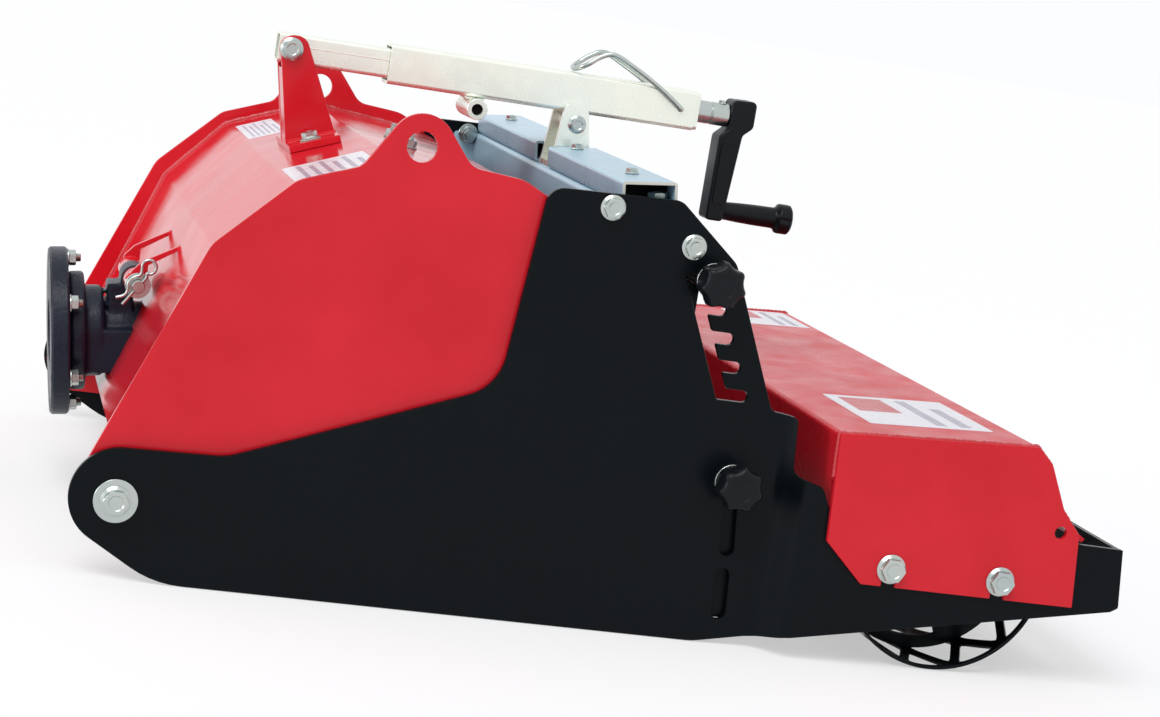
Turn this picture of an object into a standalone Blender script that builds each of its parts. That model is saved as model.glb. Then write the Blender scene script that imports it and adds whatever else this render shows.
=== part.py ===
"""Stone burier for a two-wheel tractor, as an assembly of separate solids.

Metres, +Z up. +X points to the rear of the machine, -Y to its left side, Z = 0 is the ground.
Sizes along X are measured from the front pivot of the side frame, then the whole machine is moved so
that the origin lies under the middle of its bounding box. The side frame stands on its lower edges and
on the cage roller. Where two pieces touch they keep GAP between them.
"""

import math

import bmesh
import bpy
import numpy as np
from mathutils import Matrix, Vector

# Clearances
GAP = 0.0003
RUNNING_GAP = 0.002

# Side frame plates
FRAME_WIDTH = 0.700
FRAME_PLATE = 0.006
PIVOT_HEIGHT = 0.067
FRONT_RADIUS = 0.042
BEND_FRONT_X = 0.563
BEND_REAR_X = 0.585
JOGGLE = 0.030
REAR_END_X = 0.890
PIVOT_BOLT_RADIUS = 0.006

# Hood
HOOD_PLATE = 0.006
HOOD_SHEET = 0.005
LUG_HOLE_RADIUS = 0.013
LUG_RADIUS = 0.0278
LUG_X = 0.210
HOOD_TOP = 0.3735

# Drive
DRIVE_TILT = math.radians(7.9)
FLANGE_X = -0.0547
FLANGE_Z = 0.146
FLANGE_RADIUS = 0.079
FLANGE_THICKNESS = 0.017
FLANGE_BOLT_CIRCLE = 0.069
FLANGE_BORE = 0.030
INPUT_SHAFT_RADIUS = 0.012
ROTOR_X = 0.204
ROTOR_TIP_RADIUS = 0.150
ROTOR_SHAFT_RADIUS = 0.018
GEARCASE_RADIUS = 0.085
GEARCASE_WIDTH = 0.100
GEARCASE_WALL = 0.008
STAR_CLEARANCE = 0.050
STARS_PER_SIDE = 3

# Jack between hood and side frame
JACK_RISE = 0.069
EYE_DROP = 0.0295
TOWER_PIVOT_X = 0.130
TOWER_BOLT = 0.010
CLEVIS_BOLT = 0.008
INNER_TUBE = 0.028
OUTER_TUBE = 0.038
TUBE_WALL = 0.003
OUTER_TUBE_FRONT_X = 0.224
OUTER_TUBE_REAR_X = 0.531
JACK_SCREW_RADIUS = 0.007
CLEVIS_X = 0.411
FRONT_EYE_X = 0.3115
CRANK_RADIUS = 0.093
BAIL_X = 0.512
BAIL_WIRE_RADIUS = 0.0025
INNER_TUBE_REAR_X = 0.400

# Cross beam and its tubes
BEAM_X = 0.386
BEAM_TUBE_WIDTH = 0.050
BEAM_TUBE_HEIGHT = 0.020
BEAM_TUBE_GAP = 0.060
BEAM_BOLT = 0.010
BEAM_TILT = math.radians(6.7)
BEAM_SHEET = 0.004

# Comb slot, grid and levelling blade
GRID_X = 0.476
GRID_Z = 0.316
COMB_SLOPE = math.radians(66.1)
COMB_TRAVEL = 0.105
COMB_REACH = 0.0248
COMB_CHANNEL = 0.012
COMB_NOTCH = 0.0105
COMB_NOTCHES = 5
STUD_RADIUS = 0.0043
GRID_BAR_RADIUS = 0.010
GRID_TOOTH = 0.010
GRID_OFFSET = 0.011
BLADE_X = 0.5225
BLADE_Z = 0.1435
BLADE_SLOPE = math.radians(84.0)
BLADE_SLOT = 0.0135
BLADE_TRAVEL = 0.058
KNOB_RADIUS = 0.0188
KNOB_HUB = 0.011
KNOB_DEPTH = 0.037

# Rear cover and roller
COVER_PLATE = 0.0055
COVER_SHEET = 0.004
COVER_FRONT_X = 0.601
COVER_TOP = 0.205
ROLLER_X = 0.729
ROLLER_RADIUS = 0.095
ROLLER_CLEARANCE = 0.012
ROLLER_DISC_INSET = 0.060
ROLLER_WALL = 0.003
ROLLER_CELLS_ROUND = 12
ROLLER_CELLS_LONG = 6
ROLLER_SHAFT_RADIUS = 0.015
COVER_BOLT = 0.012
COVER_BOLTS_X = (0.668, 0.7705)
COVER_BOLT_Z = 0.0915

# Clevis pin between gearbox and hood
PIN_X = 0.0165
PIN_Z = 0.2075
PIN_RADIUS = 0.006
EAR_INNER_Y = 0.054
EAR_OUTER_Y = 0.060
SLEEVE_RADIUS = 0.0115
SLEEVE_START_Y = 0.0205

# Places that several pieces share
FRAME_Y = FRAME_WIDTH / 2
FRAME_INNER_Y = FRAME_Y - FRAME_PLATE
REAR_Y = FRAME_Y + JOGGLE
REAR_INNER_Y = REAR_Y - FRAME_PLATE
HOOD_Y = FRAME_INNER_Y - RUNNING_GAP
HOOD_INNER_Y = HOOD_Y - HOOD_PLATE
COVER_Y = REAR_Y + GAP + COVER_PLATE
ROLLER_LENGTH = 2 * (REAR_INNER_Y - ROLLER_CLEARANCE)
DRIVE_AXIS = Vector((math.cos(DRIVE_TILT), 0, math.sin(DRIVE_TILT)))
FLANGE_CENTRE = Vector((FLANGE_X, 0, FLANGE_Z))
ROTOR_DISTANCE = (ROTOR_X - FLANGE_X) / math.cos(DRIVE_TILT)
ROTOR_Z = FLANGE_Z + (ROTOR_X - FLANGE_X) * math.tan(DRIVE_TILT)
LUG_Z = HOOD_TOP + 0.019
STAR_FIRST_Y = GEARCASE_WIDTH / 2 + STAR_CLEARANCE
STAR_SPACING = (HOOD_INNER_Y - STAR_CLEARANCE - STAR_FIRST_Y) / (STARS_PER_SIDE - 1)
HOE_FOOT = 0.45 * STAR_SPACING
JACK_HEIGHT = HOOD_TOP + JACK_RISE
CLEVIS_Z = JACK_HEIGHT - EYE_DROP
BEAM_FLOOR_Z = CLEVIS_Z - 0.045
FRAME_TOP = BEAM_FLOOR_Z + 0.012
BEAM_BOLTS = [(0.3775, FRAME_TOP - 0.014), (0.4535, FRAME_TOP - 0.0375)]
PIVOT = Vector((0, 0, PIVOT_HEIGHT))
TOWER_PIVOT = Vector((TOWER_PIVOT_X, 0, JACK_HEIGHT))
COMB_DIRECTION = Vector((math.cos(COMB_SLOPE), 0, -math.sin(COMB_SLOPE)))
BLADE_DIRECTION = Vector((math.cos(BLADE_SLOPE), 0, -math.sin(BLADE_SLOPE)))
ROLLER_Z = ROLLER_RADIUS
SIDES = {"left": -1, "right": 1}


# Scene and materials


def clear_scene():
    for thing in list(bpy.data.objects):
        bpy.data.objects.remove(thing, do_unlink=True)


def new_collection(name):
    collection = bpy.data.collections.new(name)
    bpy.context.scene.collection.children.link(collection)
    return collection


def new_material(name, colour, roughness, metallic):
    material = bpy.data.materials.new(name)
    material.use_nodes = True
    shader = material.node_tree.nodes["Principled BSDF"]
    shader.inputs["Base Color"].default_value = (*colour, 1)
    shader.inputs["Roughness"].default_value = roughness
    shader.inputs["Metallic"].default_value = metallic
    material.diffuse_color = (*colour, 1)
    return material


clear_scene()
PARTS = new_collection("stone_burier")
CUTTERS = new_collection("cutters")
RED_PAINT = new_material("red_paint", (0.62, 0.02, 0.03), 0.30, 0.0)
BLACK_PAINT = new_material("black_paint", (0.010, 0.012, 0.014), 0.38, 0.0)
GREY_PAINT = new_material("grey_paint", (0.27, 0.34, 0.40), 0.40, 0.2)
CAST_IRON = new_material("cast_iron_paint", (0.010, 0.016, 0.030), 0.50, 0.3)
ZINC = new_material("zinc_plate", (0.62, 0.63, 0.56), 0.35, 0.9)
BARE_STEEL = new_material("bare_steel", (0.35, 0.35, 0.36), 0.40, 1.0)
BLACK_PLASTIC = new_material("black_plastic", (0.012, 0.012, 0.014), 0.45, 0.0)


# Shape helpers


def add_object(name, mesh, material, collection=None):
    thing = bpy.data.objects.new(name, mesh)
    (collection or PARTS).objects.link(thing)
    if material:
        mesh.materials.append(material)
    return thing


def from_bmesh(name, shape, material):
    bmesh.ops.recalc_face_normals(shape, faces=shape.faces)
    mesh = bpy.data.meshes.new(name)
    shape.to_mesh(mesh)
    shape.free()
    return add_object(name, mesh, material)


def smooth(thing, angle=35):
    thing.data.shade_smooth()
    thing.data.set_sharp_from_angle(angle=math.radians(angle))
    return thing


def box(name, low, high, material=None, turn=None):
    """A box between two corners, turned about its own middle by the matrix turn."""
    low, high = Vector(low), Vector(high)
    size = high - low
    place = Matrix.Translation((low + high) / 2) @ (turn or Matrix.Identity(4))
    shape = bmesh.new()
    bmesh.ops.create_cube(shape, size=1, matrix=place @ Matrix.Diagonal((*size, 1)))
    return from_bmesh(name, shape, material)


def along(direction):
    """The turn that takes +Z to the direction."""
    return Vector((0, 0, 1)).rotation_difference(Vector(direction)).to_matrix().to_4x4()


def cylinder(name, start, end, radius, sides=24, material=None, end_radius=None):
    start, end = Vector(start), Vector(end)
    shape = bmesh.new()
    bmesh.ops.create_cone(
        shape,
        cap_ends=True,
        segments=sides,
        radius1=radius,
        radius2=radius if end_radius is None else end_radius,
        depth=(end - start).length,
        matrix=Matrix.Translation((start + end) / 2) @ along(end - start),
    )
    return smooth(from_bmesh(name, shape, material))


def turned(name, profile, place, direction, sides=32, material=None):
    """A profile of (radius, height) points, outer side first from the top down, spun about an axis."""
    matrix = Matrix.Translation(place) @ along(direction)
    points = [Vector((radius, 0, height)) for radius, height in profile]
    edges = [(i, i + 1) for i in range(len(points) - 1)]
    if profile[0][0] > 0 or profile[-1][0] > 0:
        edges.append((len(points) - 1, 0))
    mesh = bpy.data.meshes.new(name)
    mesh.from_pydata(points, edges, [])
    thing = add_object(name, mesh, material)
    thing.matrix_world = matrix
    screw = thing.modifiers.new("Turn", "SCREW")
    screw.steps = sides
    screw.render_steps = sides
    screw.use_merge_vertices = True
    screw.merge_threshold = 0.00001
    return thing


def round_corners(corners, step=15):
    """Points of an outline. A corner is (x, z), or (x, z, radius) where it is rounded."""
    points = []
    count = len(corners)
    for i, corner in enumerate(corners):
        here = Vector(corner[:2])
        radius = corner[2] if len(corner) > 2 else 0
        if radius <= 0:
            points.append(here)
            continue
        back = (Vector(corners[i - 1][:2]) - here).normalized()
        ahead = (Vector(corners[(i + 1) % count][:2]) - here).normalized()
        half = back.angle(ahead) / 2
        centre = here + (back + ahead).normalized() * radius / math.sin(half)
        first = here + back * radius / math.tan(half) - centre
        last = here + ahead * radius / math.tan(half) - centre
        sweep = first.angle_signed(last)
        count_steps = max(2, round(abs(math.degrees(sweep)) / step))
        for k in range(count_steps + 1):
            spin = Matrix.Rotation(-sweep * k / count_steps, 2)
            points.append(centre + spin @ first)
    return points


def arc(centre_x, centre_z, radius, start, end, steps):
    """Corners along an arc, angles in degrees from +X towards +Z."""
    angles = [math.radians(start + (end - start) * k / steps) for k in range(steps + 1)]
    return [(centre_x + radius * math.cos(a), centre_z + radius * math.sin(a)) for a in angles]


def flat_mesh(name, outlines, thickness, matrix):
    """A mesh of the area inside the first outline and outside the others, as thick as asked."""
    curve = bpy.data.curves.new(name, "CURVE")
    curve.dimensions = "2D"
    curve.fill_mode = "BOTH"
    curve.extrude = thickness / 2
    for outline in outlines:
        spline = curve.splines.new("POLY")
        spline.points.add(len(outline) - 1)
        for point, (x, z) in zip(spline.points, outline):
            point.co = (x, z, 0, 1)
        spline.use_cyclic_u = True
    guide = bpy.data.objects.new(name + "_guide", curve)
    PARTS.objects.link(guide)
    bpy.context.view_layer.update()
    graph = bpy.context.evaluated_depsgraph_get()
    mesh = bpy.data.meshes.new_from_object(guide.evaluated_get(graph))
    bpy.data.objects.remove(guide)
    shape = bmesh.new()
    shape.from_mesh(mesh)
    bmesh.ops.remove_doubles(shape, verts=shape.verts, dist=0.00001)
    bmesh.ops.transform(shape, matrix=matrix, verts=shape.verts)
    bpy.data.meshes.remove(mesh)
    return shape


def side_plate(name, outline, y_inner, y_outer, material=None, holes=()):
    """A plate that lies in the XZ plane between two Y values, cut from one outline."""
    upright = Matrix.Translation((0, (y_inner + y_outer) / 2, 0)) @ Matrix.Rotation(math.pi / 2, 4, "X")
    shape = flat_mesh(name, [outline, *holes], abs(y_outer - y_inner), upright)
    return from_bmesh(name, shape, material)


def strip(corners, thickness):
    """The closed outline of a bent sheet, from the (x, z) corners of its outer side."""
    outer = [Vector(corner) for corner in corners]
    inner = []
    for i, here in enumerate(outer):
        before = (here - outer[i - 1]).normalized() if i else None
        after = (outer[i + 1] - here).normalized() if i < len(outer) - 1 else None
        first, second = before or after, after or before
        normal = Vector((first.y + second.y, -first.x - second.x)).normalized()
        inner.append(here + normal * thickness / math.sqrt((1 + first.dot(second)) / 2))
    return outer + inner[::-1]


def wire(name, points, radius, material, rounding=2):
    curve = bpy.data.curves.new(name, "CURVE")
    curve.dimensions = "3D"
    curve.bevel_depth = radius
    curve.bevel_resolution = rounding
    curve.use_fill_caps = True
    spline = curve.splines.new("POLY")
    spline.points.add(len(points) - 1)
    for point, place in zip(spline.points, points):
        point.co = (*place, 1)
    curve.materials.append(material)
    thing = bpy.data.objects.new(name, curve)
    PARTS.objects.link(thing)
    return thing


def combine(thing, other, operation):
    """Cuts or joins with another shape, which becomes a hidden helper."""
    for collection in list(other.users_collection):
        collection.objects.unlink(other)
    CUTTERS.objects.link(other)
    other.parent = thing
    other.matrix_parent_inverse = thing.matrix_world.inverted()
    other.hide_render = True
    other.display_type = "WIRE"
    modifier = thing.modifiers.new(other.name, "BOOLEAN")
    modifier.operation = operation
    modifier.solver = "EXACT"
    modifier.object = other
    return thing


def cut(thing, other):
    return combine(thing, other, "DIFFERENCE")


def join(thing, other):
    return combine(thing, other, "UNION")


def cross_hole(thing, x, z, radius, y_reach, sides=16):
    """A round hole along Y."""
    y_low, y_high = y_reach
    name = f"{thing.name}_hole_{len(thing.modifiers)}"
    return cut(thing, cylinder(name, (x, y_low, z), (x, y_high, z), radius, sides))


def slot_cut(thing, top, bottom, width, y_reach):
    """A straight slot with round ends between two (x, z) points."""
    top, bottom = Vector(top), Vector(bottom)
    run = (bottom - top).normalized() * width / 2
    side = Vector((-run.y, run.x))
    radius = width / 2
    corners = [
        (*(top - run + side), radius * 0.98),
        (*(top - run - side), radius * 0.98),
        (*(bottom + run - side), radius * 0.98),
        (*(bottom + run + side), radius * 0.98),
    ]
    name = f"{thing.name}_slot_{len(thing.modifiers)}"
    return cut(thing, side_plate(name, round_corners(corners, 30), *y_reach))


def flange_bolt(name, x, z, side, head_y, shank_length, size, washer=(0, 0)):
    """A hexagon bolt along Y with a flange, or a flange and a washer of (radius, height), shank inwards."""
    outward = Vector((0, side, 0))
    washer_radius, base = washer
    flange_radius, flange_top = 1.09 * size, base + 0.25 * size
    rim = [(flange_radius, base + 0.09 * size), (flange_radius, base)]
    if washer_radius:
        rim += [(washer_radius, base), (washer_radius, 0)]
    shank = [(size / 2, 0), (size / 2, -shank_length), (0, -shank_length)]
    profile = [(0, flange_top), (0.75 * flange_radius, flange_top), *rim, *shank]
    face = Vector((x, side * head_y, z))
    thing = turned(name, profile, face, outward, 18, ZINC)
    head_low, head_high = base + 0.1 * size, base + 0.78 * size
    head = cylinder(name + "_hexagon", face + outward * head_low, face + outward * head_high, 0.92 * size, 6)
    return join(thing, head)


# Side frame


def frame_outline():
    top_arc = arc(0.003, PIVOT_HEIGHT + 0.0025, FRONT_RADIUS, 90, 241, 9)
    corners = [
        *top_arc,
        (0.040, 0, 0.090),
        (0.511, 0, 0.060),
        (0.562, 0.0100),
        (0.586, 0.0182),
        (REAR_END_X - 0.007, 0.0738, 0.004),
        (REAR_END_X, 0.078, 0.003),
        (REAR_END_X - 0.006, 0.131),
        (0.606, 0.134, 0.010),
        (0.596, 0.1545, 0.006),
        (0.5725, 0.160, 0.009),
        (0.570, 0.2085, 0.004),
        (0.5475, 0.2105, 0.009),
        (0.494, 0.333, 0.016),
        (0.437, FRAME_TOP, 0.014),
        (0.321, FRAME_TOP - 0.004, 0.016),
        (0.305, 0.201, 0.043),
        (0.086, 0.114, 0.050),
    ]
    return round_corners(corners, 30)


def comb_outline():
    """The comb slot: a sloping channel with a round notch for the stud at each height."""
    half = COMB_NOTCH / 2
    pitch = COMB_TRAVEL / (COMB_NOTCHES - 1)
    stud_places = [(GRID_X + COMB_DIRECTION.x * pitch * k, GRID_Z + COMB_DIRECTION.z * pitch * k) for k in range(COMB_NOTCHES)]

    def front(z):
        return GRID_X - COMB_REACH + (GRID_Z - z) / math.tan(COMB_SLOPE)

    top = GRID_Z + half
    bottom = stud_places[-1][1] - half
    corners = [(front(top), top, 0.003), (front(bottom), bottom, 0.003)]
    for x, z in reversed(stud_places):
        low, high = z - half, z + half
        if low > bottom:
            corners.append((front(low) + COMB_CHANNEL, low))
        corners += [(x + half, low, half * 0.98), (x + half, high, half * 0.98)]
        if high < top:
            corners.append((front(high) + COMB_CHANNEL, high))
    return round_corners(corners, 45)


def bend_plate(shape, side):
    """Sets the part of the plate behind the bend lines outwards by JOGGLE."""
    for x in (BEND_FRONT_X, BEND_REAR_X):
        everything = shape.verts[:] + shape.edges[:] + shape.faces[:]
        bmesh.ops.bisect_plane(shape, geom=everything, plane_co=(x, 0, 0), plane_no=(1, 0, 0))
    for vertex in shape.verts:
        share = (vertex.co.x - BEND_FRONT_X) / (BEND_REAR_X - BEND_FRONT_X)
        vertex.co.y += side * JOGGLE * min(max(share, 0), 1)


def make_side_plate(name, side):
    upright = Matrix.Translation((0, side * (FRAME_Y - FRAME_PLATE / 2), 0))
    upright = upright @ Matrix.Rotation(math.pi / 2, 4, "X")
    outlines = [frame_outline(), comb_outline()]
    shape = flat_mesh(name, outlines, FRAME_PLATE, upright)
    bend_plate(shape, side)
    plate = from_bmesh(name, shape, BLACK_PAINT)
    reach = (side * (FRAME_INNER_Y - 0.01), side * (REAR_Y + 0.01))
    cross_hole(plate, 0, PIVOT_HEIGHT, PIVOT_BOLT_RADIUS + GAP, reach)
    for x, z in BEAM_BOLTS:
        cross_hole(plate, x, z, BEAM_BOLT / 2 + GAP, reach, 16)
    for x in COVER_BOLTS_X:
        cross_hole(plate, x, COVER_BOLT_Z, COVER_BOLT / 2 + GAP, reach, 16)
    cross_hole(plate, ROLLER_X, ROLLER_Z, ROLLER_SHAFT_RADIUS + GAP, reach)
    start = Vector((BLADE_X, BLADE_Z))
    run = Vector((BLADE_DIRECTION.x, BLADE_DIRECTION.z))
    slot_cut(plate, start, start + run * (BLADE_TRAVEL + 0.0013), BLADE_SLOT, reach)
    slot_cut(plate, (0.5285, 0.0612), (0.5308, 0.0287), BLADE_SLOT, reach)
    return plate


def make_frame_plates():
    return [make_side_plate(f"frame_plate_{word}", side) for word, side in SIDES.items()]


def make_pivot_bolts():
    """The bolts that the side frame turns on, held in the hood plates, with a wide washer under each head."""
    bolts = []
    for word, side in SIDES.items():
        head_y = FRAME_Y + GAP
        length = head_y - HOOD_INNER_Y + 0.012
        size = 2 * PIVOT_BOLT_RADIUS
        washer = (0.0185, 0.003)
        name = f"pivot_bolt_{word}"
        bolts.append(flange_bolt(name, 0, PIVOT_HEIGHT, side, head_y, length, size, washer))
    return bolts


def beam_floor(x, lift=0.0):
    """Height of the beam's tilted top sheet at x, with a lift square to it."""
    return BEAM_FLOOR_Z + (x - BEAM_X) * math.tan(BEAM_TILT) + lift / math.cos(BEAM_TILT)


def make_cross_beam():
    """Bent sheet under the beam tubes, with an end plate at each side that takes two bolts."""
    rear = BEAM_X + BEAM_TUBE_WIDTH
    front_lip, rear_lip = BEAM_FLOOR_Z - 0.076, BEAM_FLOOR_Z - 0.033
    sheet = [(BEAM_X, front_lip), (BEAM_X, beam_floor(BEAM_X)), (rear, beam_floor(rear)), (rear, rear_lip)]
    end_outer = FRAME_INNER_Y - GAP
    end_inner = end_outer - 0.005
    beam = side_plate("cross_beam", strip(sheet, BEAM_SHEET), -end_inner - 0.001, end_inner + 0.001, GREY_PAINT)
    end_corners = [
        (0.363, FRAME_TOP - 0.013, 0.004),
        (0.402, FRAME_TOP - 0.0135),
        (0.440, FRAME_TOP - 0.010, 0.006),
        (0.468, FRAME_TOP - 0.030, 0.006),
        (0.466, FRAME_TOP - 0.052, 0.006),
        (0.430, FRAME_TOP - 0.058),
        (BEAM_X, FRAME_TOP - 0.058),
        (0.363, FRAME_TOP - 0.030, 0.006),
    ]
    for word, side in SIDES.items():
        end = side_plate(f"beam_end_{word}", round_corners(end_corners), side * end_inner, side * end_outer)
        join(beam, end)
        for x, z in BEAM_BOLTS:
            reach = (side * (end_inner - 0.01), side * (end_outer + 0.01))
            cross_hole(beam, x, z, BEAM_BOLT / 2 + GAP, reach, 16)
    return beam


def make_beam_tubes():
    tubes = []
    wall = 0.0025
    tilt = Matrix.Rotation(-BEAM_TILT, 4, "Y")
    middle_x = BEAM_X + BEAM_TUBE_WIDTH / 2
    middle_z = beam_floor(middle_x, GAP + BEAM_TUBE_HEIGHT / 2)
    half_width, half_height = BEAM_TUBE_WIDTH / 2 - 0.0005, BEAM_TUBE_HEIGHT / 2
    for word, side in SIDES.items():
        near = BEAM_TUBE_GAP / 2
        far = FRAME_INNER_Y - 0.008
        y_low, y_high = min(side * near, side * far), max(side * near, side * far)
        low = (middle_x - half_width, y_low, middle_z - half_height)
        high = (middle_x + half_width, y_high, middle_z + half_height)
        tube = box(f"beam_tube_{word}", low, high, GREY_PAINT, tilt)
        hollow_low = (low[0] + wall, y_low - 0.01, low[2] + wall)
        hollow_high = (high[0] - wall, y_high + 0.01, high[2] - wall)
        tubes.append(cut(tube, box(f"beam_tube_hollow_{word}", hollow_low, hollow_high, None, tilt)))
    return tubes


def make_clevis():
    """U bracket between the beam tubes that carries the jack's rear eye."""
    inner = OUTER_TUBE / 2 + 0.0015
    outer = inner + 0.005
    front, rear = CLEVIS_X - 0.020, CLEVIS_X + 0.021
    foot = [(front, beam_floor(front, GAP)), (rear, beam_floor(rear, GAP))]
    foot += [(rear, beam_floor(rear, 0.005)), (front, beam_floor(front, 0.005))]
    bracket = side_plate("jack_clevis", [Vector(p) for p in foot], -outer, outer, ZINC)
    top = CLEVIS_Z + 0.0185
    cheek = [(front, beam_floor(front, GAP)), (CLEVIS_X - 0.014, top, 0.006), (CLEVIS_X + 0.009, top, 0.010)]
    cheek += [(CLEVIS_X + 0.016, CLEVIS_Z - 0.021, 0.010), (rear, beam_floor(rear, GAP))]
    for word, side in SIDES.items():
        join(bracket, side_plate(f"clevis_cheek_{word}", round_corners(cheek), side * inner, side * outer))
    cross_hole(bracket, CLEVIS_X, CLEVIS_Z, CLEVIS_BOLT / 2 + GAP, (-outer - 0.01, outer + 0.01), 16)
    bolt = flange_bolt("clevis_bolt", CLEVIS_X, CLEVIS_Z, -1, outer + GAP, 2 * outer + 0.012, CLEVIS_BOLT)
    return [bracket, bolt]


def make_rear_panel():
    reach = REAR_INNER_Y - GAP
    front, rear = REAR_END_X - 0.0115, REAR_END_X - 0.0065
    return box("rear_panel", (front, -reach, 0.080), (rear, reach, 0.1305), BLACK_PAINT)


# Rear cover


def make_rear_cover():
    """Bent sheet over the roller. Its lower front part is narrower, to stand between the side plates."""
    corners = [
        (COVER_FRONT_X + 0.006, 0.118),
        (COVER_FRONT_X, COVER_TOP),
        (0.785, 0.2145),
        (0.800, 0.2005),
        (0.8185, 0.1615),
        (0.834, 0.1445),
        (0.848, 0.136),
    ]
    reach = REAR_Y - 0.0002
    sheet = side_plate("rear_cover", strip(corners, COVER_SHEET), -reach, reach, RED_PAINT)
    for word, side in SIDES.items():
        inner = side * (REAR_INNER_Y - GAP)
        outer = side * (REAR_Y + 0.01)
        low = (COVER_FRONT_X - 0.02, min(inner, outer), 0.10)
        high = (0.640, max(inner, outer), 0.162)
        cut(sheet, box(f"cover_relief_{word}", low, high))
        tail_low = (0.835, min(inner, outer), 0.10)
        tail_high = (0.870, max(inner, outer), 0.152)
        cut(sheet, box(f"cover_tail_relief_{word}", tail_low, tail_high))
    return sheet


def make_cover_sides():
    corners = [
        (COVER_FRONT_X, COVER_TOP),
        (0.785, 0.2145, 0.008),
        (0.800, 0.2005, 0.014),
        (0.8185, 0.1615, 0.020),
        (0.834, 0.1445),
        (0.837, 0.141),
        (0.843, 0.075),
        (0.643, 0.075),
        (0.606, 0.109),
    ]
    plates = []
    for word, side in SIDES.items():
        inner = side * (REAR_Y + GAP)
        outer = side * COVER_Y
        plate = side_plate(f"cover_side_{word}", round_corners(corners), inner, outer, RED_PAINT)
        reach = (side * (REAR_Y - 0.01), side * (COVER_Y + 0.01))
        cross_hole(plate, 0.819, 0.141, 0.0055, reach)
        for x in COVER_BOLTS_X:
            slot_cut(plate, (x, COVER_BOLT_Z), (x, 0.050), COVER_BOLT + 0.001, reach)
        plates.append(plate)
    return plates


def make_cover_bolts():
    bolts = []
    for word, side in SIDES.items():
        for place, x in zip(("front", "rear"), COVER_BOLTS_X):
            head_y = COVER_Y + GAP
            name = f"cover_bolt_{place}_{word}"
            bolts.append(flange_bolt(name, x, COVER_BOLT_Z, side, head_y, 0.020, COVER_BOLT))
    return bolts


# Cage roller


def roller_net():
    """Open cage of flat strands round the roller: diamond cells, half cells at both ends."""
    shape = bmesh.new()
    half_turn = math.pi / ROLLER_CELLS_ROUND
    cell = ROLLER_LENGTH / ROLLER_CELLS_LONG
    opening = 0.80
    corners = {}

    def corner(turn, row):
        key = (turn % (2 * ROLLER_CELLS_ROUND), row)
        if key not in corners:
            corners[key] = shape.verts.new(on_drum(key[0], key[1]))
        return corners[key]

    def on_drum(turn, row):
        angle = turn * half_turn
        y = -ROLLER_LENGTH / 2 + row * cell / 2
        return (ROLLER_RADIUS * math.cos(angle), y, ROLLER_RADIUS * math.sin(angle))

    rows = 2 * ROLLER_CELLS_LONG
    for row in range(rows + 1):
        for turn in range(row % 2, 2 * ROLLER_CELLS_ROUND, 2):
            ring = [(turn - 1, row), (turn, row + 1), (turn + 1, row), (turn, row - 1)]
            ring = [(t, min(max(r, 0), rows)) for t, r in ring]
            middle_row = min(max(row, 0.42), rows - 0.42)
            rim = [corner(t, r) for t, r in ring]
            hole = []
            for t, r in ring:
                inner_turn = turn + (t - turn) * opening
                inner_row = middle_row + (r - middle_row) * opening
                hole.append(shape.verts.new(on_drum(inner_turn, inner_row)))
            for k in range(len(ring)):
                nearby = (k + 1) % len(ring)
                shape.faces.new((rim[k], rim[nearby], hole[nearby], hole[k]))
    bmesh.ops.transform(shape, matrix=Matrix.Translation((ROLLER_X, 0, ROLLER_Z)), verts=shape.verts)
    return shape


def make_roller():
    net = from_bmesh("roller_cage", roller_net(), BLACK_PAINT)
    solid = net.modifiers.new("Wall", "SOLIDIFY")
    solid.thickness = ROLLER_WALL
    solid.offset = -1
    shaft_end = REAR_Y - 0.001
    shaft = cylinder(
        "roller_shaft",
        (ROLLER_X, -shaft_end, ROLLER_Z),
        (ROLLER_X, shaft_end, ROLLER_Z),
        ROLLER_SHAFT_RADIUS,
        24,
        BARE_STEEL,
    )
    pieces = [net, shaft]
    disc_radius = ROLLER_RADIUS - ROLLER_WALL - GAP
    window_inner, window_outer = 0.040, disc_radius - 0.012
    rim_points = 2 * ROLLER_CELLS_ROUND
    for word, side in SIDES.items():
        last = 360 - 360 / rim_points
        rim = [Vector(p) for p in arc(ROLLER_X, ROLLER_Z, disc_radius, 0, last, rim_points - 1)]
        bore = [Vector(p) for p in arc(ROLLER_X, ROLLER_Z, ROLLER_SHAFT_RADIUS + GAP, 0, 342, 19)]
        windows = []
        for k in range(6):
            low, high = 60 * k + 12, 60 * k + 48
            outer = arc(ROLLER_X, ROLLER_Z, window_outer, low, high, 3)
            inner = arc(ROLLER_X, ROLLER_Z, window_inner, high - 4, low + 4, 1)
            windows.append([Vector(p) for p in outer + inner])
        outer_y = side * (ROLLER_LENGTH / 2 - ROLLER_DISC_INSET)
        inner_y = outer_y - side * 0.005
        disc = side_plate(f"roller_end_{word}", rim, inner_y, outer_y, BLACK_PAINT, [bore, *windows])
        pieces.append(disc)
    return pieces


# Hood


def hood_profile():
    """Outer side of the bent hood shell, front to rear."""
    shoulder, rear = HOOD_TOP - 0.0345, HOOD_TOP - 0.0125
    return [(-0.003, 0.100), (0.060, 0.276), (0.116, shoulder), (0.2055, HOOD_TOP), (0.324, rear)]


def make_hood_shell():
    reach = HOOD_INNER_Y - GAP
    shell = side_plate("hood_shell", strip(hood_profile(), HOOD_SHEET), -reach, reach, RED_PAINT)
    for tool in neck_shapes("hood_opening", 0.0006):
        cut(shell, tool)
    return shell


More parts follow.
